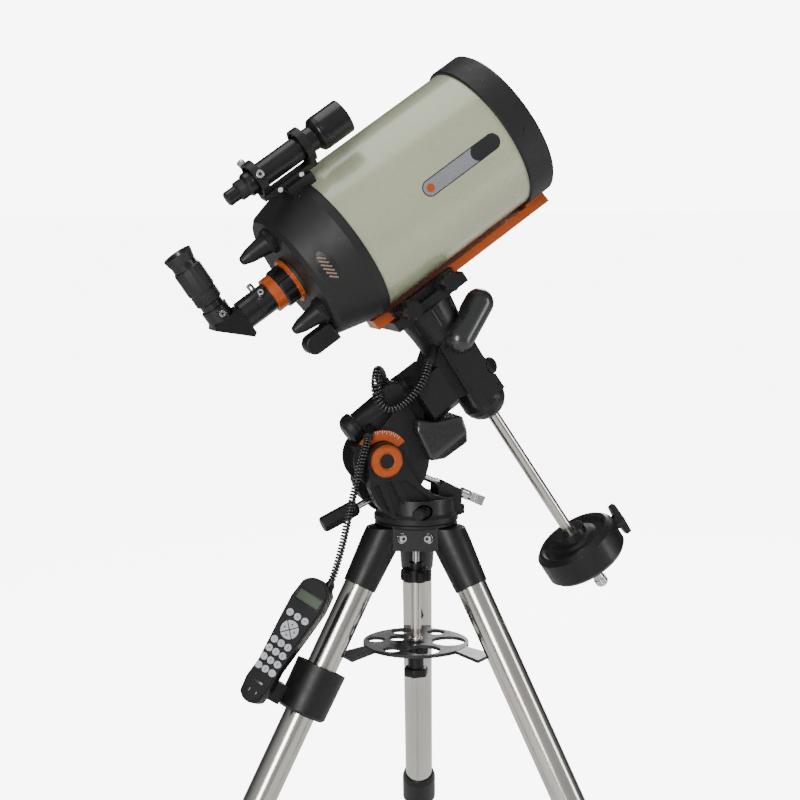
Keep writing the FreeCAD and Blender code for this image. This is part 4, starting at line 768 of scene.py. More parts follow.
# ------------------------------------------------------------------ cords
@dataclass(frozen=True)
class CoiledCord:
    """A curly cord along its route, in metres."""

    name: str
    node: str
    route: tuple[Point, ...]
    outside: float
    wire: float
    pitch: float
    bodies: tuple[str, str]
    length: float
    relief_bodies: tuple[str, str]
    relief_radius: float
    lead: float = 0.010

    def axis(self) -> list[Vector]:
        """The smooth line through the route, as points.

        Returns:
            Points from the exit to the far end.
        """
        curve = bpy.data.curves.new(self.name + "_route", "CURVE")
        curve.dimensions = "3D"
        curve.resolution_u = 24
        spline = curve.splines.new("NURBS")
        spline.points.add(len(self.route) - 1)
        for point, place in zip(spline.points, self.route):
            point.co = (*place, 1.0)
        spline.order_u = 3
        spline.use_endpoint_u = True
        carrier = bpy.data.objects.new(self.name + "_route", curve)
        data = bpy.data.meshes.new_from_object(carrier)
        points = [vert.co.copy() for vert in data.vertices]
        bpy.data.objects.remove(carrier)
        bpy.data.meshes.remove(data)
        return points

    def coil(self, line: Sequence[Vector]) -> list[Vector]:
        """The wire's own line: a helix round the route that closes in at both ends.

        Args:
            line: The route's points.

        Returns:
            The wire's points.
        """
        spans = [(b - a).length for a, b in zip(line, line[1:])]
        total = sum(spans)
        steps = int(total / self.pitch * 14)
        reach = self.outside / 2 - self.wire / 2
        wire: list[Vector] = []
        span, passed = 0, 0.0
        side = (line[1] - line[0]).orthogonal().normalized()
        for step in range(steps + 1):
            along = total * step / steps
            while span < len(spans) - 1 and passed + spans[span] < along:
                passed += spans[span]
                span += 1
            way = (line[span + 1] - line[span]).normalized()
            middle = line[span] + way * (along - passed)
            side = (side - way * side.dot(way)).normalized()
            across = way.cross(side)
            share = min(1.0, along / self.lead, (total - along) / self.lead)
            turned = FULL_TURN * along / self.pitch
            out = side * math.cos(turned) + across * math.sin(turned)
            wire.append(middle + out * reach * math.sin(share * math.pi / 2))
        return wire

    def tube(self, wire: Sequence[Vector]) -> bmesh.types.BMesh:
        """The wire as a closed tube."""
        curve = bpy.data.curves.new(self.name + "_wire", "CURVE")
        curve.dimensions = "3D"
        curve.bevel_depth = self.wire / 2
        curve.bevel_resolution = 2
        curve.use_fill_caps = True
        spline = curve.splines.new("POLY")
        spline.points.add(len(wire) - 1)
        for point, place in zip(spline.points, wire):
            point.co = (*place, 1.0)
        carrier = bpy.data.objects.new(self.name + "_wire", curve)
        data = bpy.data.meshes.new_from_object(carrier)
        mesh = bmesh.new()
        mesh.from_mesh(data)
        bpy.data.objects.remove(carrier)
        bpy.data.meshes.remove(data)
        return mesh

    def relief(self, end: str, start: Vector, way: Vector, body: str) -> bpy.types.Object:
        """A ribbed, tapered strain relief on the wire.

        Args:
            end: Which end it is at, for its name.
            start: The cord's end.
            way: The direction in which the cord leaves.
            body: The body it moves with.

        Returns:
            The strain relief.
        """
        top = self.relief_radius
        profile = [(0.0, -1.0), (top, -1.0), (top, 1.5)]
        for rib in range(4):
            radius = top - 0.9 - rib * 0.75
            height = 2.0 + rib * 2.2
            profile += [(radius, height), (radius, height + 1.2), (radius - 0.7, height + 1.5)]
        profile += [(self.wire / MM / 2 + 0.4, 11.0), (0.0, 11.0)]
        name = self.name + "_relief_" + end
        place = aimed(start / MM, way)
        return finished(name, lathe(profile, 28), place, RUBBER, body)

    def build(self) -> None:
        """Make the cord and its strain reliefs."""
        line = self.axis()
        name = self.name
        mesh = self.tube(self.coil(line))
        bmesh.ops.recalc_face_normals(mesh, faces=mesh.faces[:])
        data = bpy.data.meshes.new(name)
        mesh.to_mesh(data)
        mesh.free()
        data.shade_smooth()
        data.materials.append(JACKET.make())
        piece = bpy.data.objects.new(name, data)
        bpy.context.scene.collection.objects.link(piece)
        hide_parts(self.node)
        reliefs = [
            self.relief("start", line[0], line[1] - line[0], self.relief_bodies[0]),
            self.relief("end", line[-1], line[-2] - line[-1], self.relief_bodies[1]),
        ]
        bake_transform(piece)
        LOG.info("%s: coiled cord of %.3f m", name, self.length)


HAND_CORD = CoiledCord(
    name="hand_control_cord",
    node="handset_cord",
    route=(
        (-0.0486, -0.0623, 0.8295),
        (-0.0539, -0.0730, 0.8230),
        (-0.0646, -0.0835, 0.8060),
        (-0.0714, -0.0855, 0.7830),
        (-0.0779, -0.0845, 0.7560),
        (-0.0847, -0.0830, 0.7270),
        (-0.0906, -0.0820, 0.6980),
        (-0.0980, -0.0810, 0.6670),
        (-0.1080, -0.0820, 0.6350),
        (-0.1161, -0.0836, 0.6177),
    ),
    outside=0.012,
    wire=0.0034,
    pitch=0.0048,
    bodies=("tripod", "leg_left"),
    length=0.231,
    relief_bodies=("polar_axis", "handset"),
    relief_radius=6.6,
)
DECLINATION_CORD = CoiledCord(
    name="declination_cord",
    node="dec_cord",
    route=(
        (0.0449, -0.0701, 0.9388),
        (0.0360, -0.0810, 0.9260),
        (0.0234, -0.0890, 0.9069),
        (0.0061, -0.0940, 0.8894),
        (-0.0133, -0.0955, 0.8760),
        (-0.0305, -0.0960, 0.8730),
        (-0.0435, -0.0950, 0.8837),
        (-0.0486, -0.0930, 0.9007),
        (-0.0460, -0.0870, 0.9190),
        (-0.0396, -0.0780, 0.9320),
        (-0.0290, -0.0660, 0.9240),
        (-0.0224, -0.0569, 0.9110),
    ),
    outside=0.014,
    wire=0.0038,
    pitch=0.0052,
    bodies=("declination_housing", "polar_axis"),
    length=0.210,
    relief_bodies=("declination_housing", "polar_axis"),
    relief_radius=7.4,
)


# ------------------------------------------------------------------ sub-assemblies
@dataclass(frozen=True)
class Tripod:
    """The hub, three telescopic legs and the tray."""

    pin_end: float = 39.56
    pin_radius: float = 6.5
    washer_radius: float = 7.8
    tray_knob_radius: float = 19.0
    tray_knob_drop: float = 22.0
    rod_radius: float = 6.0

    def build(self) -> None:
        """Dress the tripod and add its bright bolts."""
        for side in Side:
            self.leg(side)
        dress(CASTING, "tripod_hub")
        dress(PLASTIC, "head_knob", "tray_knob")
        dress(stainless("rod_steel", (0, 0, 1)), "centre_rod")
        dress(TRAY, "accessory_tray")
        self.tray_nut()

    def tray_nut(self) -> None:
        """The lobed hand nut that stands off below the tray, on its sleeve."""
        low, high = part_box("tray_knob")
        middle = (low + high) / 2 / MM
        drop = self.tray_knob_drop
        bore = self.rod_radius + 0.4
        sleeve = [(bore, 0.0), (12.0, 0.0), (12.0, -drop), (bore, -drop)]
        nut = bmesh.new()
        radius = self.tray_knob_radius
        bmesh.ops.create_cone(
            nut, cap_ends=True, segments=48, radius1=radius * MM, radius2=radius * MM, depth=13.0 * MM
        )
        for vert in nut.verts:
            swell = 1.0 + 0.075 * math.cos(6 * math.atan2(vert.co.y, vert.co.x))
            vert.co.xy *= swell * 0.94
        rims = [edge for edge in nut.edges if len({round(v.co.z, 6) for v in edge.verts}) == 1]
        bmesh.ops.bevel(
            nut,
            geom=rims,
            offset=2.0 * MM,
            affect="EDGES",
            segments=3,
            profile=0.5,
            material=-1,
            clamp_overlap=True,
        )
        nut.transform(shift(0, 0, -drop - 6.5))
        place = shift(middle.x, middle.y, low.z / MM)
        whole = gather([lathe([*sleeve, sleeve[0]], 40), nut])
        finished("tray_nut", whole, place, PLASTIC, "tray_knob", 40)

    def leg(self, side: Side) -> None:
        """Finish one leg."""
        name = side.name.lower()
        way = PLAN.leg(side).to_3x3() @ Vector((0, 0, 1))
        steel = stainless("leg_steel_" + name, way)
        dress(steel, "leg_tube_" + name, "leg_inner_" + name)
        dress(PLASTIC, "leg_castings_" + name, "leg_knob_" + name)
        bolts = gather([self.bolt(way_out) for way_out in (-1.0, 1.0)])
        place = PLAN.pivot(side)
        finished("hinge_bolts_" + name, bolts, place, CHROME, "leg_" + name)

    def bolt(self, way: float) -> bmesh.types.BMesh:
        """A socket-headed cap on one end of a hinge pin."""
        head = self.pin_radius + 0.25
        profile = [(0.0, -1.0), (2.6, -1.0), (2.6, 2.2), (head - 1.6, 2.2), (head - 0.6, 1.2)]
        profile += [(head - 0.6, -2.4), (self.washer_radius, -2.4), (self.washer_radius, -3.8), (0.0, -3.8)]
        mesh = lathe(profile, 32)
        mesh.transform(aimed((0, way * self.pin_end, 0), (0, way, 0)))
        return mesh


@dataclass(frozen=True)
class MountBase:
    """The turning base with its azimuth and altitude bolts."""

    rear_start: tuple[float, float] = (-95.0, 24.6)
    bolt_radius: float = 5.0
    scale_face: float = 28.8
    scale_outer: float = 43.0
    scale_inner: float = 37.5
    scale_turns: range = range(50, 131, 5)
    rear_slope: float = 24.2

    def build(self) -> None:
        """Dress the base and add the scales' marks."""
        dress(CASTING, "azimuth_base")
        dress(PLASTIC, "azimuth_knob_near", "azimuth_knob_far")
        dress(CHROME, "altitude_bolt_front")
        dress(ANODISED, "altitude_caps")
        way = turn(-self.rear_slope, "Y") @ Vector((-1, 0, 0))
        dress(PLASTIC, "altitude_bolt_rear")
        self.rear_shank(way)
        ticks = [self.tick(degrees, side) for side in (-1, 1) for degrees in self.scale_turns]
        finished("latitude_marks", gather(ticks), PLAN.tilt, PRINT, "polar_axis")

    def rear_shank(self, way: Vector) -> None:
        """The bright shank between the base and the rear bolt's grip."""
        x, z = self.rear_start
        radius = self.bolt_radius + 0.2
        bore = radius - 0.6
        shank = lathe([(bore, -46.0), (radius, -46.0), (radius, -0.2), (bore, -0.2), (bore, -46.0)], 32)
        place = PLAN.hub @ aimed((x, 0, z), way)
        steel = stainless("rear_bolt_steel", way)
        finished("rear_bolt_shank", shank, place, steel, "altitude_bolt_rear")

    def tick(self, degrees: float, side: int) -> bmesh.types.BMesh:
        """One mark of a latitude scale."""
        long = degrees % 10 == 0
        inner = self.scale_inner if long else self.scale_inner + 2.6
        middle = (inner + self.scale_outer) / 2
        mark = block((self.scale_outer - inner, 0.25, 0.7))
        mark.transform(shift(0, side * self.scale_face, 0) @ turn(-degrees, "Y") @ shift(middle, 0, 0))
        return mark


def moulded(
    node: str, voxel: float, rounds: int, finish: object, body: str
) -> bpy.types.Object:
    """A moulded cover with softly rounded edges, in place of a node's plain solid.

    Args:
        node: The node that it stands for.
        voxel: How fine the new skin is, in millimetres.
        rounds: How often its edges are eased.
        finish: What it is finished in.
        body: The body it moves with.

    Returns:
        The cover.
    """
    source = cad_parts[node].data.copy()
    shell = bmesh.new()
    shell.from_mesh(source)
    bmesh.ops.remove_doubles(shell, verts=shell.verts[:], dist=1e-5)
    shell.to_mesh(source)
    shell.free()
    carrier = bpy.data.objects.new(node + "_skin", source)
    bpy.context.scene.collection.objects.link(carrier)
    skin = carrier.modifiers.new("skin", "REMESH")
    skin.mode = "VOXEL"
    skin.voxel_size = voxel * MM
    bpy.context.view_layer.update()
    depsgraph = bpy.context.evaluated_depsgraph_get()
    data = bpy.data.meshes.new_from_object(carrier.evaluated_get(depsgraph))
    bpy.data.objects.remove(carrier)
    bpy.data.meshes.remove(source)
    eased = bmesh.new()
    eased.from_mesh(data)
    bpy.data.meshes.remove(data)
    for _ in range(rounds):
        bmesh.ops.smooth_vert(
            eased, verts=eased.verts[:], factor=0.5, use_axis_x=True, use_axis_y=True, use_axis_z=True
        )
    piece = finished(node.replace("cover", "shell"), eased, Matrix.Identity(4), finish, body, 60)
    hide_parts(node)
    return piece


@dataclass(frozen=True)
class EquatorialHead:
    """The two axes, their motors, the counterweight and the saddle."""

    panel_face: float = -43.0
    screw_places: tuple[tuple[float, float], ...] = ((-17, 24), (17, 29), (20, -74), (-20, -74))

    def build(self) -> None:
        """Dress the head and add its seams, screws and grips."""
        dress(CASTING, "polar_housing", "dec_housing", "dec_end_cap", "saddle_head", "saddle_jaw")
        dress(COVER, "dec_motor_cover")
        moulded("ra_motor_cover", 2.2, 9, COVER, "polar_axis")
        dress(PLASTIC, "polar_cap", "ra_clutch_knob", "dec_clutch_knob", "cw_lock_knob")
        # Dress the head, remake the right-ascension motor cover with rounded edges and add the panel's
        # screws.
        dress(PLASTIC, "saddle_knob_front", "saddle_knob_rear")
        dress(CASTING, "counterweight")
        down = PLAN.head.to_3x3() @ Vector((0, 0, 1))
        dress(stainless("shaft_steel", down), "cw_shaft")
        dress(CHROME, "safety_nut")
        self.cover_screws()

    def cover_screws(self) -> None:
        """Countersunk screws in the declination housing's flat panel."""
        profile = [(0.0, 0.0), (1.1, 0.0), (1.1, 0.7), (2.4, 0.7), (2.9, 0.2), (2.9, -0.8), (0.0, -0.8)]
        screws = []
        for x, z in self.screw_places:
            screw = lathe(profile, 20)
            screw.transform(aimed((x, self.panel_face, z), (0, -1, 0)))
            screws.append(screw)
        body = "declination_housing"
        finished("panel_screws", gather(screws), PLAN.head, BLACKED, body)


@dataclass(frozen=True)
class OpticalTube:
    """The tube, its two cells, its glass and the fittings on its back."""

    tube_radius: float = 115.0
    front: float = 261.3
    diagonal: float = -261.0
    cell_lean: float = -14.3
    badge_turn: float = 84.0
    badge_along: float = 130.0
    badge_length: float = 140.0
    badge_height: float = 25.0
    vent_along: float = -115.0
    vent_size: tuple[float, float] = (52.0, 25.0)
    slat_lean: float = -40.0
    slat_pitch: float = 6.3

    def build(self) -> None:
        """Dress the tube and add its badge, louvres and screws."""
        dress(ENAMEL, "optical_tube")
        dress(CELL, "rear_cell", "front_ring")
        dress(ANODISED, "dovetail_bar")
        dress(CORRECTOR, "corrector_plate")
        dress(BLACKED, "secondary_holder", "star_diagonal")
        dress(MIRROR, "primary_mirror")
        dress(PLASTIC, "focus_knob", "mirror_lock_knob", "rear_handle")
        dress(BACK_TUBE, "visual_back")
        dress(EYEPIECE, "eyepiece")
        self.badge()
        self.louvres()
        self.screws()
        self.retaining_screws()
        self.thumb_screws()
        self.eyepiece_grip()

    def on_tube(self, degrees: float, along: float, radius: float) -> Matrix:
        """A frame on the tube's skin: X along the tube to the sky, Y round it and Z out of it.

        Args:
            degrees: Turn from the tube's top towards the near side.
            along: Height along the optical axis.
            radius: The skin's radius.

        Returns:
            The frame's matrix in the object.
        """
        outward = Vector(round_tube(1.0, degrees, 0.0))
        sky = Vector((0, 0, 1))
        around = outward.cross(sky)
        turned = Matrix((sky, around, outward)).transposed().to_4x4()
        return PLAN.optics @ shift(*round_tube(radius, degrees, along)) @ turned

    def badge(self) -> None:
        """A bare badge with round ends: dark outline, silver field, dot and dark upper end."""
        place = self.on_tube(self.badge_turn, self.badge_along, self.tube_radius)
        long, high = self.badge_length, self.badge_height
        layers = (
            ("badge_outline", long, high, 0.30, 0.0, BADGE),
            ("badge_field", long - 3.0, high - 3.0, 0.50, 0.0, RIM),
            ("badge_end", long * 0.36, high - 1.0, 0.75, long * 0.32 - 0.5, BADGE),
            ("badge_dot", 12.6, 12.5, 0.75, -long / 2 + 12.5, ANODISED),
        )
        for name, length, height, thick, along, finish in layers:
            plate = stadium(length, height, thick, self.tube_radius)
            plate.transform(shift(along, 0, 0))
            finished(name, plate, place, finish, "optical_tube")

    def cell_radius(self, along: float) -> float:
        """The rear cell's radius at a height."""
        share = min(1.0, max(0.0, (along + 133.5) / 63.7))
        return 103.7 + 16.3 * share

    def louvres(self) -> None:
        """The two cooling vents: a dark leaf-shaped frame with slanted slats."""
        radius = self.cell_radius(self.vent_along)
        for name, degrees in (("near", 86.0), ("far", 266.0)):
            place = self.on_tube(degrees, self.vent_along, radius) @ turn(self.cell_lean, "Y")
            rim = leaf(*self.vent_size, 1.0, radius)
            finished("vent_rim_" + name, rim, place, BLACKED, "optical_tube")
            slats = []
            for step in (-2.5, -1.5, -0.5, 0.5, 1.5, 2.5):
                slat = block((17.0 - 1.6 * abs(step), 2.6, 1.4), 0.45)
                around = step * self.slat_pitch
                lift = 1.2 - around**2 / 2 / radius
                slat.transform(shift(0, around, lift) @ turn(self.slat_lean, "Z") @ turn(20, "X"))
                slats.append(slat)
            finished("vent_slats_" + name, gather(slats), place, LOUVRE, "optical_tube")

    def screws(self) -> None:
        """Small socket screws round both cells."""
        socket = [(0.0, -0.6), (1.3, -0.6), (1.3, 0.5), (2.6, 0.5), (3.1, 0.1), (3.1, -1.2), (0.0, -1.2)]
        for name, along, first in (("rear", -79.0, 14.0), ("front", 236.0, 30.0)):
            heads = []
            for step in range(6):
                for extra in (0.0, 14.0) if step % 3 == 0 else (0.0,):
                    radius = self.cell_radius(along)
                    head = lathe(socket, 20)
                    lean = turn(self.cell_lean, "Y") if name == "rear" else Matrix.Identity(4)
                    head.transform(self.on_tube(first + 60 * step + extra, along, radius) @ lean)
                    heads.append(head)
            screws, place = gather(heads), Matrix.Identity(4)
            finished(name + "_cell_screws", screws, place, BLACKED, "optical_tube")

    def retaining_screws(self) -> None:
        """Screws that hold the corrector's retaining ring."""
        profile = [(0.0, 0.2), (0.9, 0.2), (0.9, 1.1), (1.7, 1.1), (2.2, 0.5), (2.2, -0.6), (0.0, -0.6)]
        heads = []
        for step in range(8):
            head = lathe(profile, 18)
            head.transform(shift(*round_tube(109.4, 22.5 + 45 * step, self.front - 3.4)))
            heads.append(head)
        finished("retainer_screws", gather(heads), PLAN.optics, BLACKED, "optical_tube")

    def thumb_screws(self) -> None:
        """The bright thumb screws of the visual back and the diagonal."""
        back = []
        for degrees in (-35, 55):
            head = knurled(4.9, 10.6)
            out = Vector(round_tube(1.0, degrees, 0.0))
            head.transform(aimed(Vector(round_tube(22.8, degrees, -197.5)), out))
            back.append(head)
        finished("visual_back_screws", gather(back), PLAN.optics, CHROME, "optical_tube")
        head = knurled(4.9, 10.6)
        head.transform(aimed((-27.0, -20.8, self.diagonal), (0, -1, 0)))
        finished("diagonal_screw", head, PLAN.optics, CHROME, "star_diagonal")

    def eyepiece_grip(self) -> None:
        """The eyepiece's rubber grip, its eyecup and its lens."""
        sleeve = [(20.6, 66.5), (21.4, 67.5), (21.4, 102.5), (20.6, 103.5), (20.0, 103.5)]
        sleeve += [(20.0, 66.5), (20.6, 66.5)]
        grip = lathe(sleeve, 64)
        for vert in grip.verts:
            flat = Vector((vert.co.x, vert.co.y, 0))
            step = round(math.degrees(math.atan2(flat.y, flat.x)) / 5.625)
            if flat.length > 21.0 * MM and step % 4 < 2:
                vert.co -= flat.normalized() * 0.7 * MM
        place = PLAN.optics @ aimed((0, 0, self.diagonal), (-1, 0, 0))
        finished("eyepiece_grip", grip, place, RUBBER, "eyepiece")
        ridges = [(19.6, 47.5)]
        for step in range(6):
            height = 48.2 + step * 2.6
            if not 56.0 < height < 60.5:
                ridges += [(20.2, height), (20.2, height + 1.5), (19.7, height + 1.8)]
        ridges += [(19.6, 63.5), (19.0, 63.5), (19.0, 47.5), (19.6, 47.5)]
        finished("eyepiece_ring", lathe(ridges, 48), place, RUBBER, "eyepiece")
        cup = [(15.6, 118.4), (18.4, 127.9), (20.2, 129.0), (22.0, 128.6), (22.3, 127.4), (19.4, 114.5)]
        cup += [(18.6, 114.5), (18.4, 120.0), (15.6, 118.4)]
        finished("eyecup", lathe(cup, 48), place, RUBBER, "eyepiece")
        lens = [(0.0, 120.0), (5.0, 119.8), (10.0, 119.0), (12.0, 118.3), (12.0, 117.6), (0.0, 117.6)]
        finished("eye_lens", lathe(lens, 40), place, LENS, "eyepiece")


@dataclass(frozen=True)
class Finder:
    """The finder scope on its bracket."""

    radius: float = 165.0
    rear_ring: float = -116.0

    def build(self) -> None:
        """Dress the finder and add its glass, screws and grips."""
        dress(CASTING, "finder_bracket")
        dress(BLACKED, "finder_scope")
        self.glass()
        self.screws()
        self.grips()

    def glass(self) -> None:
        """The objective and the eye lens."""
        place = PLAN.finder @ shift(-self.radius, 0, 0)
        lens = [(0.0, 33.0), (8.0, 32.7), (16.0, 31.8), (23.2, 30.4), (23.2, 29.9), (0.0, 29.9)]
        finished("finder_objective", lathe(lens, 48), place, LENS, "finder")
        eye = [(0.0, -168.3), (6.4, -168.3), (7.0, -167.9), (7.0, -167.2), (0.0, -167.2)]
        finished("finder_eye_lens", lathe(eye, 32), place, LENS, "finder")

    def screws(self) -> None:
        """The bracket's bright thumb screws and its clamp screws."""
        heads = []
        for degrees in (-60, 60):
            head = knurled(5.9, 10.8)
            out = Vector(round_tube(1.0, degrees, 0.0))
            start = Vector(round_tube(27.7, degrees, self.rear_ring)) + Vector((-self.radius, 0, 0))
            head.transform(aimed(start, out))
            heads.append(head)
        for along in (-96.0, -58.0):
            head = knurled(4.2, 3.6)
            head.transform(aimed((-135.0, -9.0, along), (0, -1, 0)))
            heads.append(head)
        finished("finder_thumb_screws", gather(heads), PLAN.finder, CHROME, "finder")

    def grips(self) -> None:
        """Ribbed focus ring and the ridged collar behind the objective."""
        place = PLAN.finder @ shift(-self.radius, 0, 0)
        ring = [(25.0, -7.9)]
        for step in range(4):
            height = -6.6 + step * 1.7
            crest = 25.6 + 0.2 * step
            ring += [(crest, height), (crest, height + 1.0), (crest - 0.6, height + 1.3)]
        ring += [(25.6, 0.4), (24.6, 0.4), (24.6, -7.9), (25.0, -7.9)]
        finished("finder_focus_ring", lathe(ring, 60), place, BLACKED, "finder")
        grip = [(13.8, -147.6)]
        for step in range(5):
            height = -147.2 + step * 2.2
            grip += [(14.5, height), (14.5, height + 1.2), (14.1, height + 1.5)]
        grip += [(13.8, -136.2), (13.4, -136.2), (13.4, -147.6), (13.8, -147.6)]
        finished("finder_eyepiece_grip", lathe(grip, 48), place, RUBBER, "finder")


@dataclass(frozen=True)
class HandControl:
    """The hand control in its holder."""

    face: float = 13.0
    key_top: float = 14.6
    window: tuple[float, float, float] = (40.0, 62.0, 78.0)
    pitch: float = 12.2
    row: float = 14.4
    number_top: float = -5.2
    pad_height: float = 17.6
    upper_row: float = 39.6
    plate_row: float = -70.0
    hanger_row: float = -86.0

    def build(self) -> None:
        """Dress the hand control and add its display, symbols and trim."""
        dress(PLASTIC, "handset_holder")
        dress(SHELL, "handset_case")
        dress(KEYS, "direction_keys", "number_keys")
        self.display()
        self.numbers()
        self.arrows()
        self.trim()

    def facing(self, x: float, z: float, depth: float) -> Matrix:
        """A frame on the face at a height above its middle plane: Y up it and Z out of it."""
        out = Matrix(((-1, 0, 0), (0, 0, 1), (0, 1, 0))).transposed().to_4x4()
        return PLAN.handset @ shift(x, depth, z) @ out

    def display(self) -> None:
        """The display behind its raised frame."""
        wide, low, high = self.window
        middle = (low + high) / 2
        panel = block((wide - 0.8, high - low - 0.8, 0.5), 0.1)
        finished("display_panel", panel, self.facing(0, middle, 11.8), DISPLAY, "handset")
        place = self.facing(0, middle, self.face + 0.1)
        rails = []
        for way in (-1, 1):
            rails.append(block((wide + 5.0, 1.8, 1.2), 0.5, shift(0, way * (high - low + 2.2) / 2, 0)))
            rails.append(block((1.8, high - low + 3.6, 1.2), 0.5, shift(way * (wide + 3.2) / 2, 0, 0)))
        finished("display_frame", gather(rails), place, PLASTIC, "handset")

    def numbers(self) -> None:
        """Plain numbers on the number keys."""
        marks = []
        for row in range(4):
            for column in range(3):
                words = str(row * 3 + column + 1) if row < 3 else (".", "0", "-")[column]
                mark = lettering(words, 6.4, 0.16)
                x = self.pitch * (1 - column)
                mark.transform(self.facing(x, self.number_top - self.row * row, self.key_top + 0.02))
                marks.append(mark)
        finished("key_numbers", gather(marks), Matrix.Identity(4), INK, "number_keys")

    def arrows(self) -> None:
        """Arrows on the direction pad and dots on the upper keys."""
        marks = []
        for degrees in (0, 90, 180, 270):
            mark = bmesh.new()
            bmesh.ops.create_circle(mark, cap_ends=True, segments=3, radius=2.4 * MM)
            mark.transform(turn(degrees, "Z") @ shift(0, 8.6, 0))
            bmesh.ops.solidify(mark, geom=mark.faces[:], thickness=0.12 * MM)
            mark.transform(self.facing(0, self.pad_height, self.key_top + 0.05))
            marks.append(mark)
        for column in (-1, 0, 1):
            mark = block((3.4, 1.0, 0.16), 0.0)
            mark.transform(self.facing(1.1 * self.pitch * column, self.upper_row, self.key_top + 0.05))
            marks.append(mark)
        whole, place = gather(marks), Matrix.Identity(4)
        finished("direction_marks", whole, place, INK, "direction_keys")

    def trim(self) -> None:
        """The bright bar across the case's lower end, and the two hanger slots as dark plates of painted
        shade.
        """
        bar = block((17.0, 4.2, 0.8), 0.35)
        place = self.facing(0, self.plate_row, self.face + 0.2)
        finished("lower_plate", bar, place, COVER, "handset")
        # Dark plates painted where the two hanger slots open: painted shade in place of the openings.
        slots = gather([block((3.0, 6.5, 0.5), 0.2, shift(x, 0, 0)) for x in (-6.0, 6.0)])
        place = self.facing(0, self.hanger_row, self.face)
        finished("hanger_slot_shade", slots, place, BADGE, "handset")


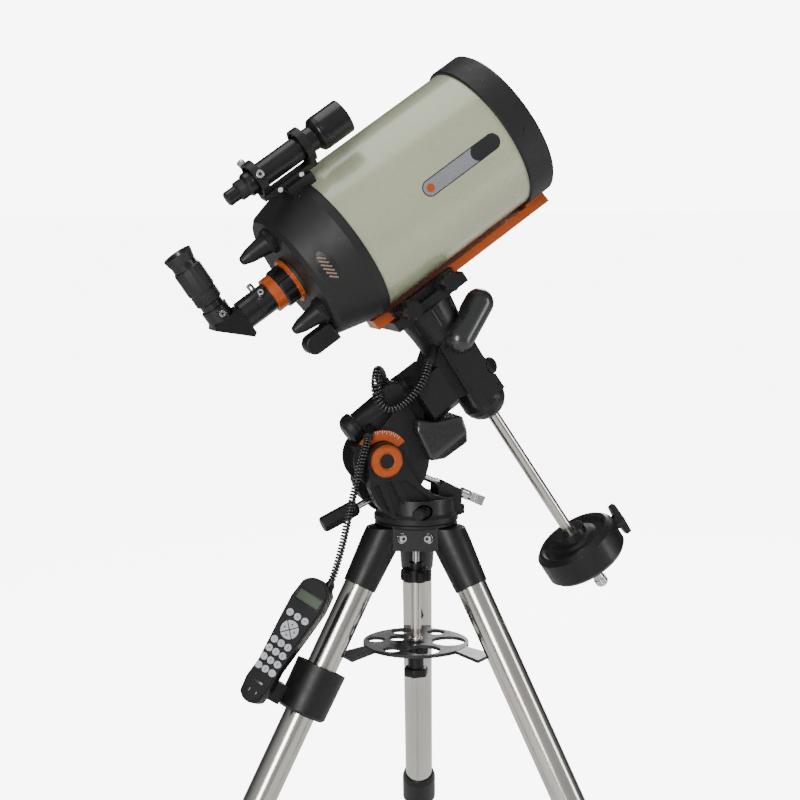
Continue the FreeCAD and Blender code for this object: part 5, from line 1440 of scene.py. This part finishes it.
# ------------------------------------------------------------------ studio
@dataclass(frozen=True)
class Studio:
    """A pale floor, soft lights and the camera."""

    lens: float = 76.5
    eye: Point = (-882.8, -2397.1, 1200.5)
    heading: float = 20.74
    dip: float = 7.27
    room_seen: float = 8.0
    room_front: float = 0.50
    room_back: float = 0.05
    floor_seen: float = 7.0

    def camera(self) -> None:
        """Set up the camera."""
        data = bpy.data.cameras.new("camera")
        data.lens = self.lens
        data.sensor_width = 36.0
        data.clip_end = 200.0
        camera = bpy.data.objects.new("camera", data)
        camera.matrix_world = shift(*self.eye) @ turn(-self.heading, "Z") @ turn(90 - self.dip, "X")
        bpy.context.scene.collection.objects.link(camera)
        bpy.context.scene.camera = camera

    def lamp(self, name: str, start: Point, power: float, size: tuple[float, float]) -> None:
        """An area light that looks at the object's middle.

        Args:
            name: The light's name.
            start: Where it hangs, in metres.
            power: Its power in watts.
            size: Its two sides in metres.
        """
        data = bpy.data.lights.new(name, "AREA")
        data.shape = "RECTANGLE"
        data.size, data.size_y = size
        data.energy = power
        lamp = bpy.data.objects.new(name, data)
        lamp.location = start
        lamp.rotation_mode = "QUATERNION"
        lamp.rotation_quaternion = (Vector((0, 0, 0.95)) - Vector(start)).to_track_quat("-Z", "Y")
        bpy.context.scene.collection.objects.link(lamp)

    def backdrop(self) -> None:
        """The room: white where it is looked at, and dim where it lights and is mirrored."""
        world = bpy.data.worlds.new("studio")
        world.use_nodes = True
        tree = world.node_tree
        shown = tree.nodes["Background"]
        shown.inputs["Color"].default_value = (1.0, 1.0, 1.0, 1.0)
        shown.inputs["Strength"].default_value = self.room_seen
        lit = tree.nodes.new("ShaderNodeBackground")
        lit.inputs["Color"].default_value = (0.96, 0.98, 1.0, 1.0)
        way = tree.nodes.new("ShaderNodeTexCoord")
        ahead = tree.nodes.new("ShaderNodeVectorMath")
        ahead.operation = "DOT_PRODUCT"
        heading = math.radians(self.heading)
        ahead.inputs[1].default_value = (math.sin(heading), math.cos(heading), 0)
        strength = tree.nodes.new("ShaderNodeMapRange")
        strength.inputs["From Min"].default_value = -0.6
        strength.inputs["From Max"].default_value = 0.5
        strength.inputs["To Min"].default_value = self.room_front
        strength.inputs["To Max"].default_value = self.room_back
        tree.links.new(way.outputs["Generated"], ahead.inputs[0])
        tree.links.new(ahead.outputs["Value"], strength.inputs["Value"])
        tree.links.new(strength.outputs["Result"], lit.inputs["Strength"])
        path = tree.nodes.new("ShaderNodeLightPath")
        either = tree.nodes.new("ShaderNodeMixShader")
        tree.links.new(path.outputs["Is Camera Ray"], either.inputs[0])
        tree.links.new(lit.outputs[0], either.inputs[1])
        tree.links.new(shown.outputs[0], either.inputs[2])
        tree.links.new(either.outputs[0], tree.nodes["World Output"].inputs["Surface"])
        bpy.context.scene.world = world

    def floor(self) -> None:
        """A plain pale floor that runs out into the backdrop."""
        floor = bmesh.new()
        bmesh.ops.create_grid(floor, x_segments=8, y_segments=8, size=60.0)
        data = bpy.data.meshes.new("floor")
        floor.to_mesh(data)
        floor.free()
        wiring = Wiring("pale_floor")
        cloud = wiring.spread(wiring.noise(0.8, 3.0), 0.0, 1.0)
        tone = wiring.mix(cloud, (0.93, 0.93, 0.93), (0.91, 0.91, 0.91))
        wiring.join(tone, wiring.shader.inputs["Base Color"])
        wiring.steady(roughness=0.9)
        path = wiring.add("LightPath")
        glow = wiring.add("MapRange")
        glow.inputs["To Max"].default_value = self.floor_seen
        wiring.join(path.outputs["Is Camera Ray"], glow.inputs["Value"])
        wiring.join(glow.outputs["Result"], wiring.shader.inputs["Emission Strength"])
        wiring.shader.inputs["Emission Color"].default_value = (1.0, 1.0, 1.0, 1.0)
        data.materials.append(wiring.material)
        ground = bpy.data.objects.new("floor", data)
        bpy.context.scene.collection.objects.link(ground)

    def build(self) -> None:
        """Lay the floor, hang the backdrop and the lights."""
        self.floor()
        self.backdrop()
        self.lamp("key", (-2.2, -3.0, 1.7), 105.0, (1.1, 2.0))
        self.lamp("fill", (2.7, -1.9, 1.4), 34.0, (0.7, 2.4))
        self.lamp("rim", (1.6, 2.4, 2.2), 60.0, (0.9, 2.2))
        self.lamp("top", (-0.4, 0.2, 3.2), 22.0, (2.0, 1.4))


def clear_start() -> None:
    """Remove what the empty file came with."""
    for name in ("Cube", "Light", "Camera"):
        found = bpy.data.objects.get(name)
        if found is not None:
            bpy.data.objects.remove(found)


def main() -> None:
    """Build the studio, the cords and every sub-assembly."""
    logging.basicConfig(level=logging.INFO, format="%(message)s")
    clear_start()
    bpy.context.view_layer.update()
    studio = Studio()
    studio.camera()
    HAND_CORD.build()
    DECLINATION_CORD.build()
    for assembly in (Tripod(), MountBase(), EquatorialHead(), OpticalTube(), Finder(), HandControl()):
        LOG.info("building %s", type(assembly).__name__)
        assembly.build()
    studio.build()


if __name__ == "__main__":
    main()
